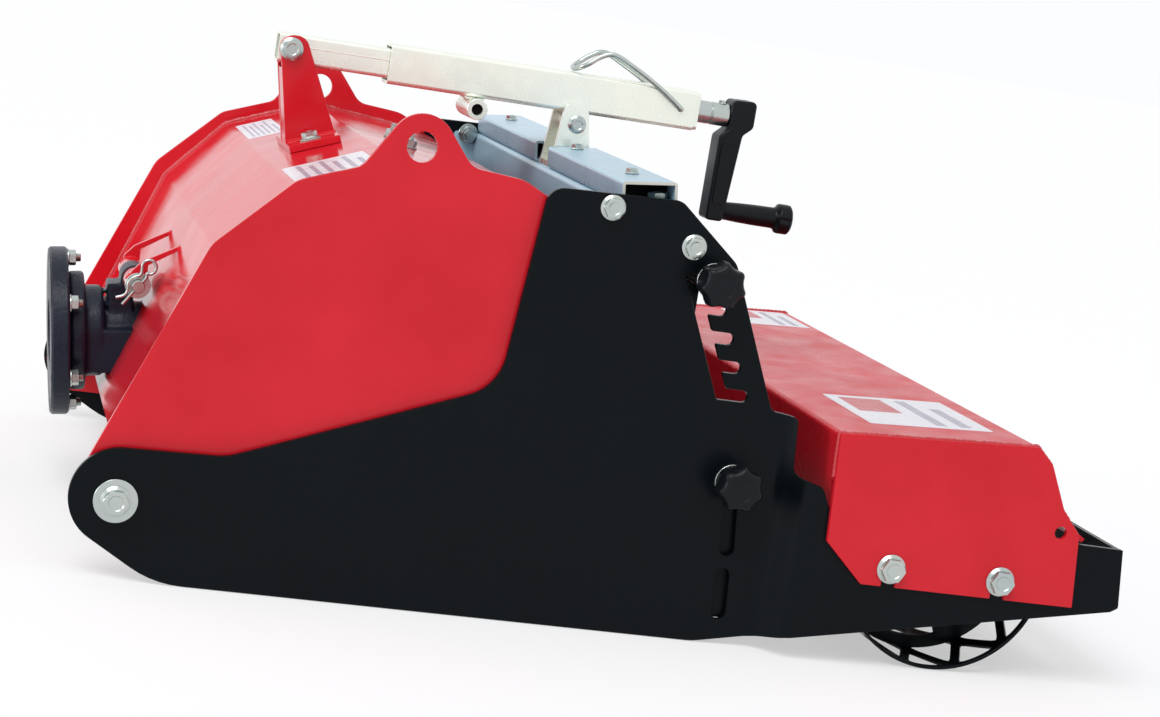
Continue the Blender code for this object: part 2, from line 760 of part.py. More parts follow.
def hood_side_outline():
    corners = [
        *arc(0, PIVOT_HEIGHT, 0.036, 160, 262, 6),
        (0.300, 0.034, 0.080),
        (0.368, 0.120, 0.060),
        (0.356, 0.330, 0.030),
        (0.324, HOOD_TOP - 0.0075, 0.012),
        (0.300, HOOD_TOP + 0.004, 0.030),
        (0.2545, HOOD_TOP + 0.008, 0.018),
        *arc(LUG_X, LUG_Z, LUG_RADIUS, 38, 148, 6),
        (0.1628, HOOD_TOP - 0.004, 0.014),
        (0.111, HOOD_TOP - 0.0235, 0.020),
        (0.049, 0.288, 0.030),
    ]
    return round_corners(corners, 20)


def make_hood_sides():
    plates = []
    for word, side in SIDES.items():
        name = f"hood_side_{word}"
        plate = side_plate(name, hood_side_outline(), side * HOOD_INNER_Y, side * HOOD_Y, RED_PAINT)
        reach = (side * (HOOD_INNER_Y - 0.01), side * (HOOD_Y + 0.01))
        cross_hole(plate, LUG_X, LUG_Z, LUG_HOLE_RADIUS, reach, 28)
        cross_hole(plate, 0, PIVOT_HEIGHT, PIVOT_BOLT_RADIUS + GAP, reach)
        plates.append(plate)
    return plates


def make_ears_and_pin():
    """Two ears on the hood's front panel, each with a sleeve, joined to the gearbox lug by a clevis pin."""
    foot, crease = Vector(hood_profile()[0]), Vector(hood_profile()[1])
    slope = math.atan2(crease.x - foot.x, crease.y - foot.y)

    def panel_x(z):
        return foot.x + (z - foot.y) * math.tan(slope) - GAP / math.cos(slope)

    corners = [
        (panel_x(0.2490), 0.2490),
        (0.0177, 0.2300, 0.006),
        (0.0090, 0.2195, 0.006),
        (0.0060, 0.2110),
        (0.0165, 0.2100),
        (0.0240, 0.2140),
        (0.0235, 0.2272),
        (panel_x(0.2435), 0.2435),
    ]
    pieces = []
    for word, side in SIDES.items():
        ear = side_plate(
            f"hood_ear_{word}", round_corners(corners), side * EAR_INNER_Y, side * EAR_OUTER_Y, RED_PAINT
        )
        start = (PIN_X, side * SLEEVE_START_Y, PIN_Z)
        end = (PIN_X, side * (EAR_OUTER_Y - 0.0006), PIN_Z)
        join(ear, cylinder(f"pin_sleeve_{word}", start, end, SLEEVE_RADIUS, 24))
        reach = (side * (SLEEVE_START_Y - 0.01), side * (EAR_OUTER_Y + 0.01))
        cross_hole(ear, PIN_X, PIN_Z, PIN_RADIUS + GAP, reach, 16)
        pieces.append(ear)
    head_y = EAR_OUTER_Y + GAP
    tip = -2 * EAR_OUTER_Y - 0.012
    pin = turned(
        "clevis_pin",
        [(0, 0.005), (0.009, 0.005), (0.009, 0), (PIN_RADIUS, 0), (PIN_RADIUS, tip), (0, tip)],
        (PIN_X, head_y, PIN_Z),
        (0, 1, 0),
        20,
        ZINC,
    )
    clip_y = -EAR_OUTER_Y - 0.0065
    clip_run = Vector((0.55, 0, 0.835)).normalized()
    clip_centre = Vector((PIN_X, clip_y, PIN_Z))
    clip_radius = 0.0015
    reach = clip_run * 0.02
    cut(pin, cylinder("pin_cross_hole", clip_centre - reach, clip_centre + reach, clip_radius + GAP, 12))
    clip = wire("r_clip", clip_path(clip_centre, clip_run), clip_radius, ZINC, 1)
    return [*pieces, pin, clip]


def clip_path(centre, run):
    """R-clip: a straight leg through the pin, a round eye, and a second leg bowed round the pin."""
    side = Vector((-run.z, 0, run.x))
    place = lambda u, v: centre + run * u + side * v
    points = [place(-0.022, 0), place(0.012, 0)]
    for k in range(9):
        angle = math.radians(-70 + 300 * k / 8)
        points.append(place(0.020 + 0.0065 * math.sin(angle), 0.0040 - 0.0065 * math.cos(angle)))
    bow = PIN_RADIUS + 0.0023
    points += [place(0.0095, 0.0055), place(0.0045, bow), place(0, bow + 0.001), place(-0.0045, bow)]
    points += [place(-0.010, 0.0045), place(-0.014, 0.0042), place(-0.021, 0.0085)]
    return points


# Drive


def on_drive(distance, lift=0.0, y=0.0):
    """A point at a distance behind the flange face along the input shaft, and at a lift above it."""
    return FLANGE_CENTRE + DRIVE_AXIS * distance + Vector((-DRIVE_AXIS.z, 0, DRIVE_AXIS.x)) * lift + Vector((0, y, 0))


def drive_block(name, distances, lifts, half_width, extra=0.0):
    """A prism square to the input shaft, between two distances and two lifts."""
    (near, far), (low, high) = distances, lifts
    corners = [
        on_drive(near - extra, low - extra),
        on_drive(far + extra, low - extra),
        on_drive(far + extra, high + extra),
        on_drive(near - extra, high + extra),
    ]
    outline = [Vector((corner.x, corner.z)) for corner in corners]
    return side_plate(name, outline, -half_width - extra, half_width + extra)


def neck_shapes(name, extra=0.0):
    """The casting between flange and gear drum: hub, neck, belly and upright lug."""
    return [
        cylinder(name + "_neck", on_drive(0.030 - extra), on_drive(0.190), 0.027 + extra, 24),
        drive_block(name + "_belly", (0.031, 0.190), (-0.0345, 0.006), 0.042, extra),
        drive_block(name + "_lug", (0.0535, 0.0775), (-0.010, 0.047), 0.0195, extra),
        cylinder(
            name + "_eye",
            (PIN_X, -0.0195 - extra, PIN_Z),
            (PIN_X, 0.0195 + extra, PIN_Z),
            0.013 + extra,
            20,
        ),
    ]


def make_gearbox():
    casing = cylinder(
        "gearbox_casing",
        (ROTOR_X, -GEARCASE_WIDTH / 2, ROTOR_Z),
        (ROTOR_X, GEARCASE_WIDTH / 2, ROTOR_Z),
        GEARCASE_RADIUS,
        40,
        CAST_IRON,
    )
    join(casing, cylinder("hub_wide", on_drive(FLANGE_THICKNESS + GAP), on_drive(0.0325), 0.056, 32))
    join(casing, cylinder("hub_narrow", on_drive(0.030), on_drive(0.050), 0.043, 32))
    for shape in neck_shapes("gearbox"):
        join(casing, shape)
    cavity_half = GEARCASE_WIDTH / 2 - GEARCASE_WALL
    cut(
        casing,
        cylinder(
            "gear_cavity",
            (ROTOR_X, -cavity_half, ROTOR_Z),
            (ROTOR_X, cavity_half, ROTOR_Z),
            GEARCASE_RADIUS - GEARCASE_WALL,
            36,
        ),
    )
    cut(casing, cylinder("input_bore", on_drive(0.010), on_drive(0.200), INPUT_SHAFT_RADIUS + GAP, 20))
    cross_hole(casing, ROTOR_X, ROTOR_Z, ROTOR_SHAFT_RADIUS + GAP, (-0.1, 0.1), 24)
    cross_hole(casing, PIN_X, PIN_Z, PIN_RADIUS + GAP, (-0.03, 0.03), 16)
    return casing


def make_flange():
    face = on_drive(0)
    flange = turned(
        "pto_flange",
        [
            (FLANGE_RADIUS - 0.002, FLANGE_THICKNESS),
            (FLANGE_RADIUS, FLANGE_THICKNESS - 0.002),
            (FLANGE_RADIUS, 0.002),
            (FLANGE_RADIUS - 0.002, 0),
            (FLANGE_BORE, 0),
            (FLANGE_BORE, FLANGE_THICKNESS),
        ],
        face,
        DRIVE_AXIS,
        36,
        CAST_IRON,
    )
    for k in range(6):
        angle = math.radians(90 + 60 * k)
        y, lift = FLANGE_BOLT_CIRCLE * math.cos(angle), FLANGE_BOLT_CIRCLE * math.sin(angle)
        hole = cylinder(f"flange_hole_{k}", on_drive(-0.01, lift, y), on_drive(0.03, lift, y), 0.0045, 12)
        cut(flange, hole)
    return flange


def make_gears():
    """Input shaft with its pinion, and the crown gear on the rotor shaft. Both cones run to the shafts' crossing."""
    ratio = 28 / 60
    far, near = ROTOR_DISTANCE - 0.064, ROTOR_DISTANCE - 0.036
    shaft = cylinder("input_shaft", on_drive(0.004), on_drive(near - 0.004), INPUT_SHAFT_RADIUS, 20, BARE_STEEL)
    big, small = 0.064 * ratio - GAP, 0.036 * ratio - GAP
    join(shaft, cylinder("pinion", on_drive(far), on_drive(near), big, 24, None, small))
    crown = turned(
        "crown_gear",
        [
            (0.066, 0.066 * ratio + 0.010),
            (0.066, 0.066 * ratio + GAP),
            (0.036, 0.036 * ratio + GAP),
            (ROTOR_SHAFT_RADIUS + GAP, 0.036 * ratio + GAP),
            (ROTOR_SHAFT_RADIUS + GAP, 0.066 * ratio + 0.010),
        ],
        (ROTOR_X, 0, ROTOR_Z),
        (0, 1, 0),
        24,
        BARE_STEEL,
    )
    return shaft, crown


def make_rotor():
    reach = HOOD_INNER_Y - 0.003
    shaft = cylinder(
        "rotor_shaft", (ROTOR_X, -reach, ROTOR_Z), (ROTOR_X, reach, ROTOR_Z), ROTOR_SHAFT_RADIUS, 24, BARE_STEEL
    )
    stars = []
    for word, side in SIDES.items():
        for k in range(STARS_PER_SIDE):
            y = side * (STAR_FIRST_Y + k * STAR_SPACING)
            stars.append(make_star(f"hoe_star_{word}_{k + 1}", y, 22.5 * k + 11 * (side + 1)))
    return shaft, stars


def make_star(name, y, turn):
    """A flange on the rotor shaft with four hoes, bent outwards and inwards by turns."""
    star = cylinder(name, (ROTOR_X, y - 0.005, ROTOR_Z), (ROTOR_X, y + 0.005, ROTOR_Z), 0.070, 16, BARE_STEEL)
    for k in range(4):
        bend = 1 if k % 2 else -1
        foot = bend * HOE_FOOT
        outline = [
            (0.052, 0.004 * -bend),
            (ROTOR_TIP_RADIUS, 0.004 * -bend),
            (ROTOR_TIP_RADIUS, foot),
            (ROTOR_TIP_RADIUS - 0.008, foot),
            (ROTOR_TIP_RADIUS - 0.008, 0.004 * bend),
            (0.052, 0.004 * bend),
        ]
        swing = Matrix.Rotation(math.radians(turn + 90 * k), 4, "Y")
        shape = flat_mesh(f"{name}_hoe_{k}", [[Vector(p) for p in outline]], 0.046, Matrix.Identity(4))
        place = Matrix.Translation((ROTOR_X, y, ROTOR_Z)) @ swing
        bmesh.ops.transform(shape, matrix=place, verts=shape.verts)
        join(star, from_bmesh(f"{name}_hoe_{k}", shape, None))
    return cross_hole(star, ROTOR_X, ROTOR_Z, ROTOR_SHAFT_RADIUS + 2 * GAP, (y - 0.02, y + 0.02), 16)


def make_bearings():
    bearings = []
    for word, side in SIDES.items():
        depth = 0.024
        bearings.append(
            turned(
                f"rotor_bearing_{word}",
                [
                    (0.030, depth),
                    (0.034, 0.008),
                    (0.048, 0.006),
                    (0.048, 0),
                    (ROTOR_SHAFT_RADIUS + GAP, 0),
                    (ROTOR_SHAFT_RADIUS + GAP, depth),
                ],
                (ROTOR_X, side * (HOOD_INNER_Y - GAP), ROTOR_Z),
                (0, -side, 0),
                20,
                CAST_IRON,
            )
        )
    return bearings


# Jack


def make_tower():
    """U bracket on a base plate that follows the slope of the hood's rear panel."""
    front, rear = Vector(hood_profile()[2]), Vector(hood_profile()[3])
    slope = math.atan2(rear.y - front.y, rear.x - front.x)
    base_middle = front + (rear - front).normalized() * 0.049
    normal = Vector((-math.sin(slope), math.cos(slope)))
    plate_thickness, half_base = 0.007, 0.0245
    run = (rear - front).normalized()
    low = base_middle + normal * GAP
    high = base_middle + normal * (GAP + plate_thickness)
    base = [low - run * half_base, low + run * half_base, high + run * half_base, high - run * half_base]
    tower = side_plate("jack_tower", base, -0.055, 0.055, RED_PAINT)
    inner = INNER_TUBE / 2 + 0.001
    outer = inner + 0.005
    foot_front = high - run * 0.0240 - normal * 0.002
    foot_rear = high + run * 0.0240 - normal * 0.002
    cheek = round_corners(
        [
            (*foot_front,),
            (TOWER_PIVOT_X - 0.0125, JACK_HEIGHT + 0.013, 0.012),
            (TOWER_PIVOT_X + 0.0125, JACK_HEIGHT + 0.013, 0.012),
            (*foot_rear,),
        ]
    )
    for word, side in SIDES.items():
        join(tower, side_plate(f"tower_cheek_{word}", cheek, side * inner, side * outer))
    web_top = Vector((TOWER_PIVOT_X - 0.0062, JACK_HEIGHT - 0.019))
    web_foot = Vector(foot_front)
    thick = Vector((0.004, 0))
    web = [web_foot + thick * 0.1, web_foot + thick, web_top + thick, web_top + thick * 0.1]
    join(tower, side_plate("tower_web", web, -inner - 0.001, inner + 0.001))
    cross_hole(tower, TOWER_PIVOT_X, JACK_HEIGHT, TOWER_BOLT / 2 + GAP, (-outer - 0.01, outer + 0.01), 16)
    bolt = flange_bolt(
        "tower_bolt", TOWER_PIVOT_X, JACK_HEIGHT, -1, outer + GAP, 2 * outer + 0.012, TOWER_BOLT
    )
    return tower, bolt


def square_tube(name, x_front, x_rear, side, wall, material, end_wall=0.0):
    half = side / 2
    tube = box(name, (x_front, -half, JACK_HEIGHT - half), (x_rear, half, JACK_HEIGHT + half), material)
    bore = half - wall
    end = x_rear - end_wall if end_wall else x_rear + 0.01
    hollow = box(name + "_bore", (x_front - 0.01, -bore, JACK_HEIGHT - bore), (end, bore, JACK_HEIGHT + bore))
    return cut(tube, hollow)


def make_jack():
    inner = square_tube("jack_inner_tube", TOWER_PIVOT_X - 0.0115, INNER_TUBE_REAR_X, INNER_TUBE, 0.0025, ZINC)
    cross_hole(inner, TOWER_PIVOT_X, JACK_HEIGHT, TOWER_BOLT / 2 + GAP, (-0.03, 0.03), 16)
    outer = square_tube(
        "jack_outer_tube", OUTER_TUBE_FRONT_X, OUTER_TUBE_REAR_X, OUTER_TUBE, TUBE_WALL, ZINC, 0.005
    )
    x_end = OUTER_TUBE_REAR_X
    screw_bore = cylinder(
        "screw_bore",
        (x_end - 0.02, 0, JACK_HEIGHT),
        (x_end + 0.02, 0, JACK_HEIGHT),
        JACK_SCREW_RADIUS + GAP,
        20,
    )
    cut(outer, screw_bore)
    for word, side in SIDES.items():
        reach = (side * (OUTER_TUBE / 2 - TUBE_WALL - 0.001), side * (OUTER_TUBE / 2 + 0.01))
        cross_hole(outer, BAIL_X, JACK_HEIGHT, BAIL_WIRE_RADIUS + 0.0004, reach, 14)
    nut_half = INNER_TUBE / 2 - 0.0025 - GAP
    nut = box(
        "jack_nut",
        (INNER_TUBE_REAR_X - 0.022, -nut_half, JACK_HEIGHT - nut_half),
        (INNER_TUBE_REAR_X - 0.002, nut_half, JACK_HEIGHT + nut_half),
        BARE_STEEL,
    )
    nut_bore = cylinder(
        "nut_bore",
        (INNER_TUBE_REAR_X - 0.04, 0, JACK_HEIGHT),
        (INNER_TUBE_REAR_X + 0.01, 0, JACK_HEIGHT),
        JACK_SCREW_RADIUS + GAP,
        20,
    )
    cut(nut, nut_bore)
    return inner, outer, nut


def make_eyes():
    """Two cross tubes under the outer tube. The rear one turns on the clevis bolt with play."""
    eyes = []
    height = JACK_HEIGHT - OUTER_TUBE / 2 - GAP
    for name, x, half, bore in (
        ("jack_eye_front", FRONT_EYE_X, 0.031, 0.0055),
        ("jack_eye_rear", CLEVIS_X, OUTER_TUBE / 2 + 0.0005, 0.0072),
    ):
        radius = 0.0100
        eye = cylinder(name, (x, -half, CLEVIS_Z), (x, half, CLEVIS_Z), radius, 24, ZINC)
        tab = box(name + "_tab", (x - 0.009, -0.015, CLEVIS_Z + 0.006), (x + 0.007, 0.015, height))
        join(eye, tab)
        cross_hole(eye, x, CLEVIS_Z, bore, (-half - 0.01, half + 0.01), 18)
        eyes.append(eye)
    return eyes


def make_crank():
    x_hub = OUTER_TUBE_REAR_X + 0.034
    hub_length = 0.0245
    screw = cylinder(
        "jack_screw",
        (0.262, 0, JACK_HEIGHT),
        (x_hub + hub_length - 0.003, 0, JACK_HEIGHT),
        JACK_SCREW_RADIUS,
        20,
        BARE_STEEL,
    )
    long_collar = x_hub - OUTER_TUBE_REAR_X - 2 * GAP
    collar = turned(
        "screw_collar",
        [
            (0.0105, long_collar),
            (0.0112, long_collar - 0.001),
            (0.0112, 0.0162),
            (0.0102, 0.0156),
            (0.0102, 0.0150),
            (0.0110, 0.0144),
            (0.0110, 0.0),
            (JACK_SCREW_RADIUS + GAP, 0.0),
            (JACK_SCREW_RADIUS + GAP, long_collar),
        ],
        (OUTER_TUBE_REAR_X + GAP, 0, JACK_HEIGHT),
        (1, 0, 0),
        18,
        ZINC,
    )
    low = JACK_HEIGHT - CRANK_RADIUS
    arm_corners = [
        (x_hub, JACK_HEIGHT + 0.0165, 0.003),
        (x_hub + hub_length, JACK_HEIGHT + 0.0175, 0.003),
        (x_hub + hub_length, JACK_HEIGHT - 0.0085, 0.007),
        (x_hub + 0.0150, JACK_HEIGHT - 0.0170, 0.006),
        (x_hub + 0.0088, low - 0.010, 0.003),
        (x_hub - 0.0085, low - 0.010, 0.004),
        (x_hub - 0.0085, JACK_HEIGHT - 0.020, 0.006),
        (x_hub, JACK_HEIGHT - 0.012, 0.004),
    ]
    arm = side_plate("crank_arm", round_corners(arm_corners, 30), -0.015, 0.015, BLACK_PLASTIC)
    bore_end = x_hub + hub_length - 0.0025
    cut(arm, cylinder("arm_bore", (x_hub - 0.02, 0, JACK_HEIGHT), (bore_end, 0, JACK_HEIGHT), 0.0073, 20))
    grip_start, grip_end = x_hub + 0.0108, 0.646
    join(arm, cylinder("grip_spindle", (x_hub + 0.004, 0, low), (grip_end - 0.001, 0, low), 0.005, 16))
    long_grip = grip_end - grip_start
    grip = turned(
        "crank_grip",
        [
            (0.0125, long_grip),
            (0.0150, long_grip - 0.003),
            (0.0150, long_grip - 0.012),
            (0.0105, long_grip - 0.016),
            (0.0102, long_grip * 0.35),
            (0.0088, 0.0),
            (0.0054, 0.0),
            (0.0054, long_grip),
        ],
        (grip_start, 0, low),
        (1, 0, 0),
        16,
        BLACK_PLASTIC,
    )
    return screw, collar, arm, grip


def make_bail():
    """Wire bail whose bent ends turn in two holes near the crank end of the outer tube."""
    side_y = OUTER_TUBE / 2 + BAIL_WIRE_RADIUS + 0.0005
    peak = [(0.455, 0.0345), (0.436, 0.0415), (0.425, 0.0370), (0.412, 0.0275)]
    start_y = OUTER_TUBE / 2 - TUBE_WALL
    half = [(BAIL_X, start_y, JACK_HEIGHT), (BAIL_X, side_y, JACK_HEIGHT)]
    half += [(BAIL_X - 0.004, side_y, JACK_HEIGHT + 0.003)]
    half += [(x, side_y - 0.001 * i, JACK_HEIGHT + rise) for i, (x, rise) in enumerate(peak)]
    half += [(0.4070, 0.012, JACK_HEIGHT + 0.0225), (0.4050, 0.006, JACK_HEIGHT + 0.0223)]
    path = [Vector((x, -y, z)) for x, y, z in half] + [Vector(p) for p in reversed(half)]
    return wire("jack_bail", path, BAIL_WIRE_RADIUS, ZINC, 1)


# Adjusters inside the side frame


def make_grid():
    """Bar between the comb slots, and the comb of bars that hangs from its front side. The clamp screws, which
    run from the knobs through the slots into the bar, are left out, so that the bar can slide straight down."""
    end = FRAME_INNER_Y - GAP
    ends = (GRID_X, -end, GRID_Z), (GRID_X, end, GRID_Z)
    bar = cylinder("grid_bar", *ends, GRID_BAR_RADIUS, 20, BLACK_PAINT)
    teeth, reach = 21, 0.330
    pitch = (2 * reach - GRID_TOOTH) / (teeth - 1)
    bottom, spine = -0.176, -0.022
    corners = [(reach, 0), (-reach, 0)]
    for k in range(teeth):
        left = -reach + k * pitch
        corners += [(left, bottom), (left + GRID_TOOTH, bottom)]
        if k < teeth - 1:
            corners += [(left + GRID_TOOTH, spine), (left + pitch, spine)]
    nearest = GRID_OFFSET - GRID_TOOTH / 2
    middle_x = GRID_X - GRID_OFFSET
    top_z = GRID_Z - math.sqrt((GRID_BAR_RADIUS + GAP) ** 2 - nearest**2)
    across_machine = Matrix(((0, 0, 1, middle_x), (1, 0, 0, 0), (0, 1, 0, top_z), (0, 0, 0, 1)))
    shape = flat_mesh("screen_grid", [[Vector(c) for c in corners]], GRID_TOOTH, across_machine)
    return bar, from_bmesh("screen_grid", shape, BLACK_PAINT)


def make_blade():
    """Levelling blade across the frame, with a plate at each end whose stud rides in the sloping slot."""
    reach = FRAME_INNER_Y - 0.0015
    centre = Vector((BLADE_X, 0, BLADE_Z))
    across = Vector((-BLADE_DIRECTION.z, 0, BLADE_DIRECTION.x)) * 0.002
    top = centre - BLADE_DIRECTION * 0.010
    bottom = centre + BLADE_DIRECTION * 0.110
    outline = [top + across, top - across, bottom - across, bottom + across]
    blade = side_plate("levelling_blade", [Vector((p.x, p.z)) for p in outline], -reach, reach, BLACK_PAINT)
    end_corners = [
        (BLADE_X - 0.013, BLADE_Z + 0.013, 0.010),
        (BLADE_X + 0.013, BLADE_Z + 0.013, 0.010),
        (BLADE_X + 0.034, BLADE_Z - 0.055),
        (BLADE_X + 0.034, 0.022, 0.008),
        (BLADE_X - 0.004, 0.022, 0.008),
        (BLADE_X - 0.013, BLADE_Z - 0.055),
    ]
    for word, side in SIDES.items():
        end = side_plate(f"blade_end_{word}", round_corners(end_corners), side * (reach - 0.005), side * reach)
        join(blade, end)
        start = (BLADE_X, side * (reach - 0.003), BLADE_Z)
        stud_end = (BLADE_X, side * (FRAME_Y + KNOB_DEPTH * 0.5), BLADE_Z)
        join(blade, cylinder(f"blade_stud_{word}", start, stud_end, STUD_RADIUS, 12))
    return blade


def make_knob(name, x, z, side, bored):
    """Star knob, as rings of points from its base out and round to the cap. A bored one takes a stud."""
    lobes = 7
    points = 3 * lobes
    base_y = FRAME_Y + GAP
    bore = STUD_RADIUS + GAP
    bore_y = FRAME_Y + KNOB_DEPTH * 0.5 + GAP
    rings = [(bore, 0, bore_y), (bore, 0, base_y)] if bored else []
    rings += [
        (0.011, 0, base_y),
        (0.011, 0, base_y + KNOB_HUB),
        (KNOB_RADIUS * 0.88, 1, base_y + KNOB_HUB + 0.002),
        (KNOB_RADIUS, 1, base_y + KNOB_HUB + 0.006),
        (KNOB_RADIUS, 1, base_y + KNOB_DEPTH - 0.006),
        (KNOB_RADIUS * 0.80, 0.6, base_y + KNOB_DEPTH),
    ]
    shape = bmesh.new()
    loops = []
    for radius, waviness, y in rings:
        loop = []
        for k in range(points):
            angle = 2 * math.pi * k / points
            r = radius * (1 + 0.085 * waviness * math.cos(lobes * angle))
            loop.append(shape.verts.new((x + r * math.sin(angle), side * y, z + r * math.cos(angle))))
        loops.append(loop)
    for first, second in zip(loops, loops[1:]):
        for k in range(points):
            nearby = (k + 1) % points
            shape.faces.new((first[k], first[nearby], second[nearby], second[k]))
    shape.faces.new(loops[0])
    shape.faces.new(loops[-1])
    return smooth(from_bmesh(name, shape, BLACK_PLASTIC), 50)


def make_knobs():
    knobs = {}
    for word, side in SIDES.items():
        knobs[f"grid_knob_{word}"] = make_knob(f"grid_knob_{word}", GRID_X, GRID_Z, side, bored=False)
        knobs[f"blade_knob_{word}"] = make_knob(f"blade_knob_{word}", BLADE_X, BLADE_Z, side, bored=True)
    return knobs


# Assembly


def new_axis(name, place, parent=None):
    """An empty on a joint's axis, which carries the pieces that move on it."""
    empty = bpy.data.objects.new(name, None)
    empty.empty_display_size = 0.05
    PARTS.objects.link(empty)
    if parent:
        empty.parent = parent
        empty.location = Vector(place) - world_place[parent.name]
    else:
        empty.location = place
    world_place[name] = Vector(place)
    return empty


world_place = {}


def carry(axis, *pieces):
    for piece in pieces:
        if isinstance(piece, (list, tuple)):
            carry(axis, *piece)
            continue
        piece.parent = axis
        piece.matrix_parent_inverse = Matrix.Translation(-world_place[axis.name])


def assemble():
    root = new_axis("hood_axis", (0, 0, 0))
    frame_axis = new_axis("frame_pitch_axis", PIVOT, root)
    rotor_centre = Vector((ROTOR_X, 0, ROTOR_Z))
    rotor_axis = new_axis("rotor_axis", rotor_centre, root)
    input_axis = new_axis("input_axis", rotor_centre, root)
    tilt_axis = new_axis("jack_tilt_axis", TOWER_PIVOT, root)
    slide_axis = new_axis("jack_slide_axis", TOWER_PIVOT, tilt_axis)
    crank_axis = new_axis("crank_axis", (OUTER_TUBE_REAR_X, 0, JACK_HEIGHT), slide_axis)
    grip_axis = new_axis("grip_axis", (OUTER_TUBE_REAR_X, 0, JACK_HEIGHT - CRANK_RADIUS), crank_axis)
    bail_axis = new_axis("bail_axis", (BAIL_X, 0, JACK_HEIGHT), slide_axis)
    roller_axis = new_axis("roller_axis", (ROLLER_X, 0, ROLLER_Z), frame_axis)
    grid_axis = new_axis("grid_axis", (GRID_X, 0, GRID_Z), frame_axis)
    swing_axis = new_axis("grid_swing_axis", (GRID_X, 0, GRID_Z), grid_axis)
    blade_axis = new_axis("blade_axis", (BLADE_X, 0, BLADE_Z), frame_axis)

    carry(root, make_hood_shell(), make_hood_sides(), make_ears_and_pin(), make_gearbox(), make_flange())
    carry(root, make_tower(), make_bearings(), make_pivot_bolts())
    shaft, crown = make_gears()
    rotor_shaft, stars = make_rotor()
    carry(input_axis, shaft)
    carry(rotor_axis, crown, rotor_shaft, stars)
    inner, outer, nut = make_jack()
    screw, collar, arm, grip = make_crank()
    carry(tilt_axis, inner, nut)
    carry(slide_axis, outer, make_eyes())
    carry(crank_axis, screw, collar, arm)
    carry(grip_axis, grip)
    carry(bail_axis, make_bail())
    carry(frame_axis, make_frame_plates(), make_cross_beam(), make_beam_tubes(), make_clevis())
    carry(frame_axis, make_rear_panel(), make_rear_cover(), make_cover_sides(), make_cover_bolts())
    carry(roller_axis, make_roller())
    bar, grid = make_grid()
    carry(grid_axis, bar)
    carry(swing_axis, grid)
    carry(blade_axis, make_blade())
    for name, knob in make_knobs().items():
        x, z = (GRID_X, GRID_Z) if name.startswith("grid") else (BLADE_X, BLADE_Z)
        parent = grid_axis if name.startswith("grid") else blade_axis
        carry(new_axis(name + "_axis", (x, 0, z), parent), knob)
    return root


def centre_over_ground(root):
    """Moves the machine so that the origin is under the middle of its bounding box."""
    bpy.context.view_layer.update()
    graph = bpy.context.evaluated_depsgraph_get()
    places = []
    for thing in PARTS.objects:
        if thing.type == "EMPTY":
            continue
        solid = thing.evaluated_get(graph)
        places += [solid.matrix_world @ vertex.co for vertex in solid.to_mesh().vertices]
        solid.to_mesh_clear()
    low, high = np.min(places, axis=0), np.max(places, axis=0)
    root.location = (-(low[0] + high[0]) / 2, -(low[1] + high[1]) / 2, -low[2])
    print("moved by", [round(value, 6) for value in root.location], "size", (high - low).round(4))


centre_over_ground(assemble())
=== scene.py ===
"""The dressed stone burier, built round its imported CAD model.

Metres, +Z up, -Y is the machine's left side and Z = 0 the ground. X in this script is measured from the front
pivot of the side frame, and every new piece is moved by PIVOT_X into the frame's own X.
"""

import math

import bmesh
import bpy
from mathutils import Matrix, Vector, noise


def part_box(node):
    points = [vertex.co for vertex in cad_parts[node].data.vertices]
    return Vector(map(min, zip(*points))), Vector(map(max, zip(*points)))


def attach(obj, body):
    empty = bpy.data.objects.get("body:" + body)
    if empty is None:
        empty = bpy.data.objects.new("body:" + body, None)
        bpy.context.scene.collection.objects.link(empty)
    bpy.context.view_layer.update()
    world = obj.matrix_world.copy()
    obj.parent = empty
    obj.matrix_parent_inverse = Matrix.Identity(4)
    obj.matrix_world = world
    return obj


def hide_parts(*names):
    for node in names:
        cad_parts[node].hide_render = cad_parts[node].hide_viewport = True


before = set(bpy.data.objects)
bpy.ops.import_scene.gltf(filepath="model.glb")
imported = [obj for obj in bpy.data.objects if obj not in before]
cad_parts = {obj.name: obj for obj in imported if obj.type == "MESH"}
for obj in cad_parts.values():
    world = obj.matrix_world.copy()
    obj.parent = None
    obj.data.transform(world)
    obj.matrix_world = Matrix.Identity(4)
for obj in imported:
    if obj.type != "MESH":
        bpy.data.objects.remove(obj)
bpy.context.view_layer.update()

SIDES = {"left": -1, "right": 1}
GAP = 0.0003


# Places read from the frame


def middle(node):
    low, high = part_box(node)
    return (low + high) / 2


PIVOT_X = middle("pivot_bolt_left").x
PIVOT_Z = middle("pivot_bolt_left").z


def spot(node):
    """X from the front pivot, and Z, of a node's middle."""
    place = middle(node)
    return place.x - PIVOT_X, place.z


FRAME_INNER_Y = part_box("grid_bar")[1].y + GAP
FRAME_PLATE = 0.006
FRAME_Y = FRAME_INNER_Y + FRAME_PLATE
REAR_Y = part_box("frame_plate_right")[1].y
REAR_INNER_Y = REAR_Y - FRAME_PLATE
JOGGLE = REAR_Y - FRAME_Y
BEND_FRONT_X, BEND_REAR_X, BEND_RADIUS = 0.563, 0.585, 0.007
REAR_X = 0.890
HOOD_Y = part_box("hood_side_right")[1].y
HOOD_INNER_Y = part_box("hood_side_right")[0].y
COVER_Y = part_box("cover_side_right")[1].y
GRID_X, GRID_Z = spot("grid_bar")
BLADE_X, BLADE_Z = spot("blade_knob_left")
ROLLER_X, ROLLER_Z = spot("roller_shaft")
ROTOR_X, ROTOR_Z = spot("rotor_shaft")
JACK_Z = middle("jack_outer_tube").z
TOWER_X = spot("tower_bolt")[0]
CLEVIS_X, CLEVIS_Z = spot("clevis_bolt")
COVER_BOLTS = [spot(f"cover_bolt_{k}_left") for k in ("front", "rear")]
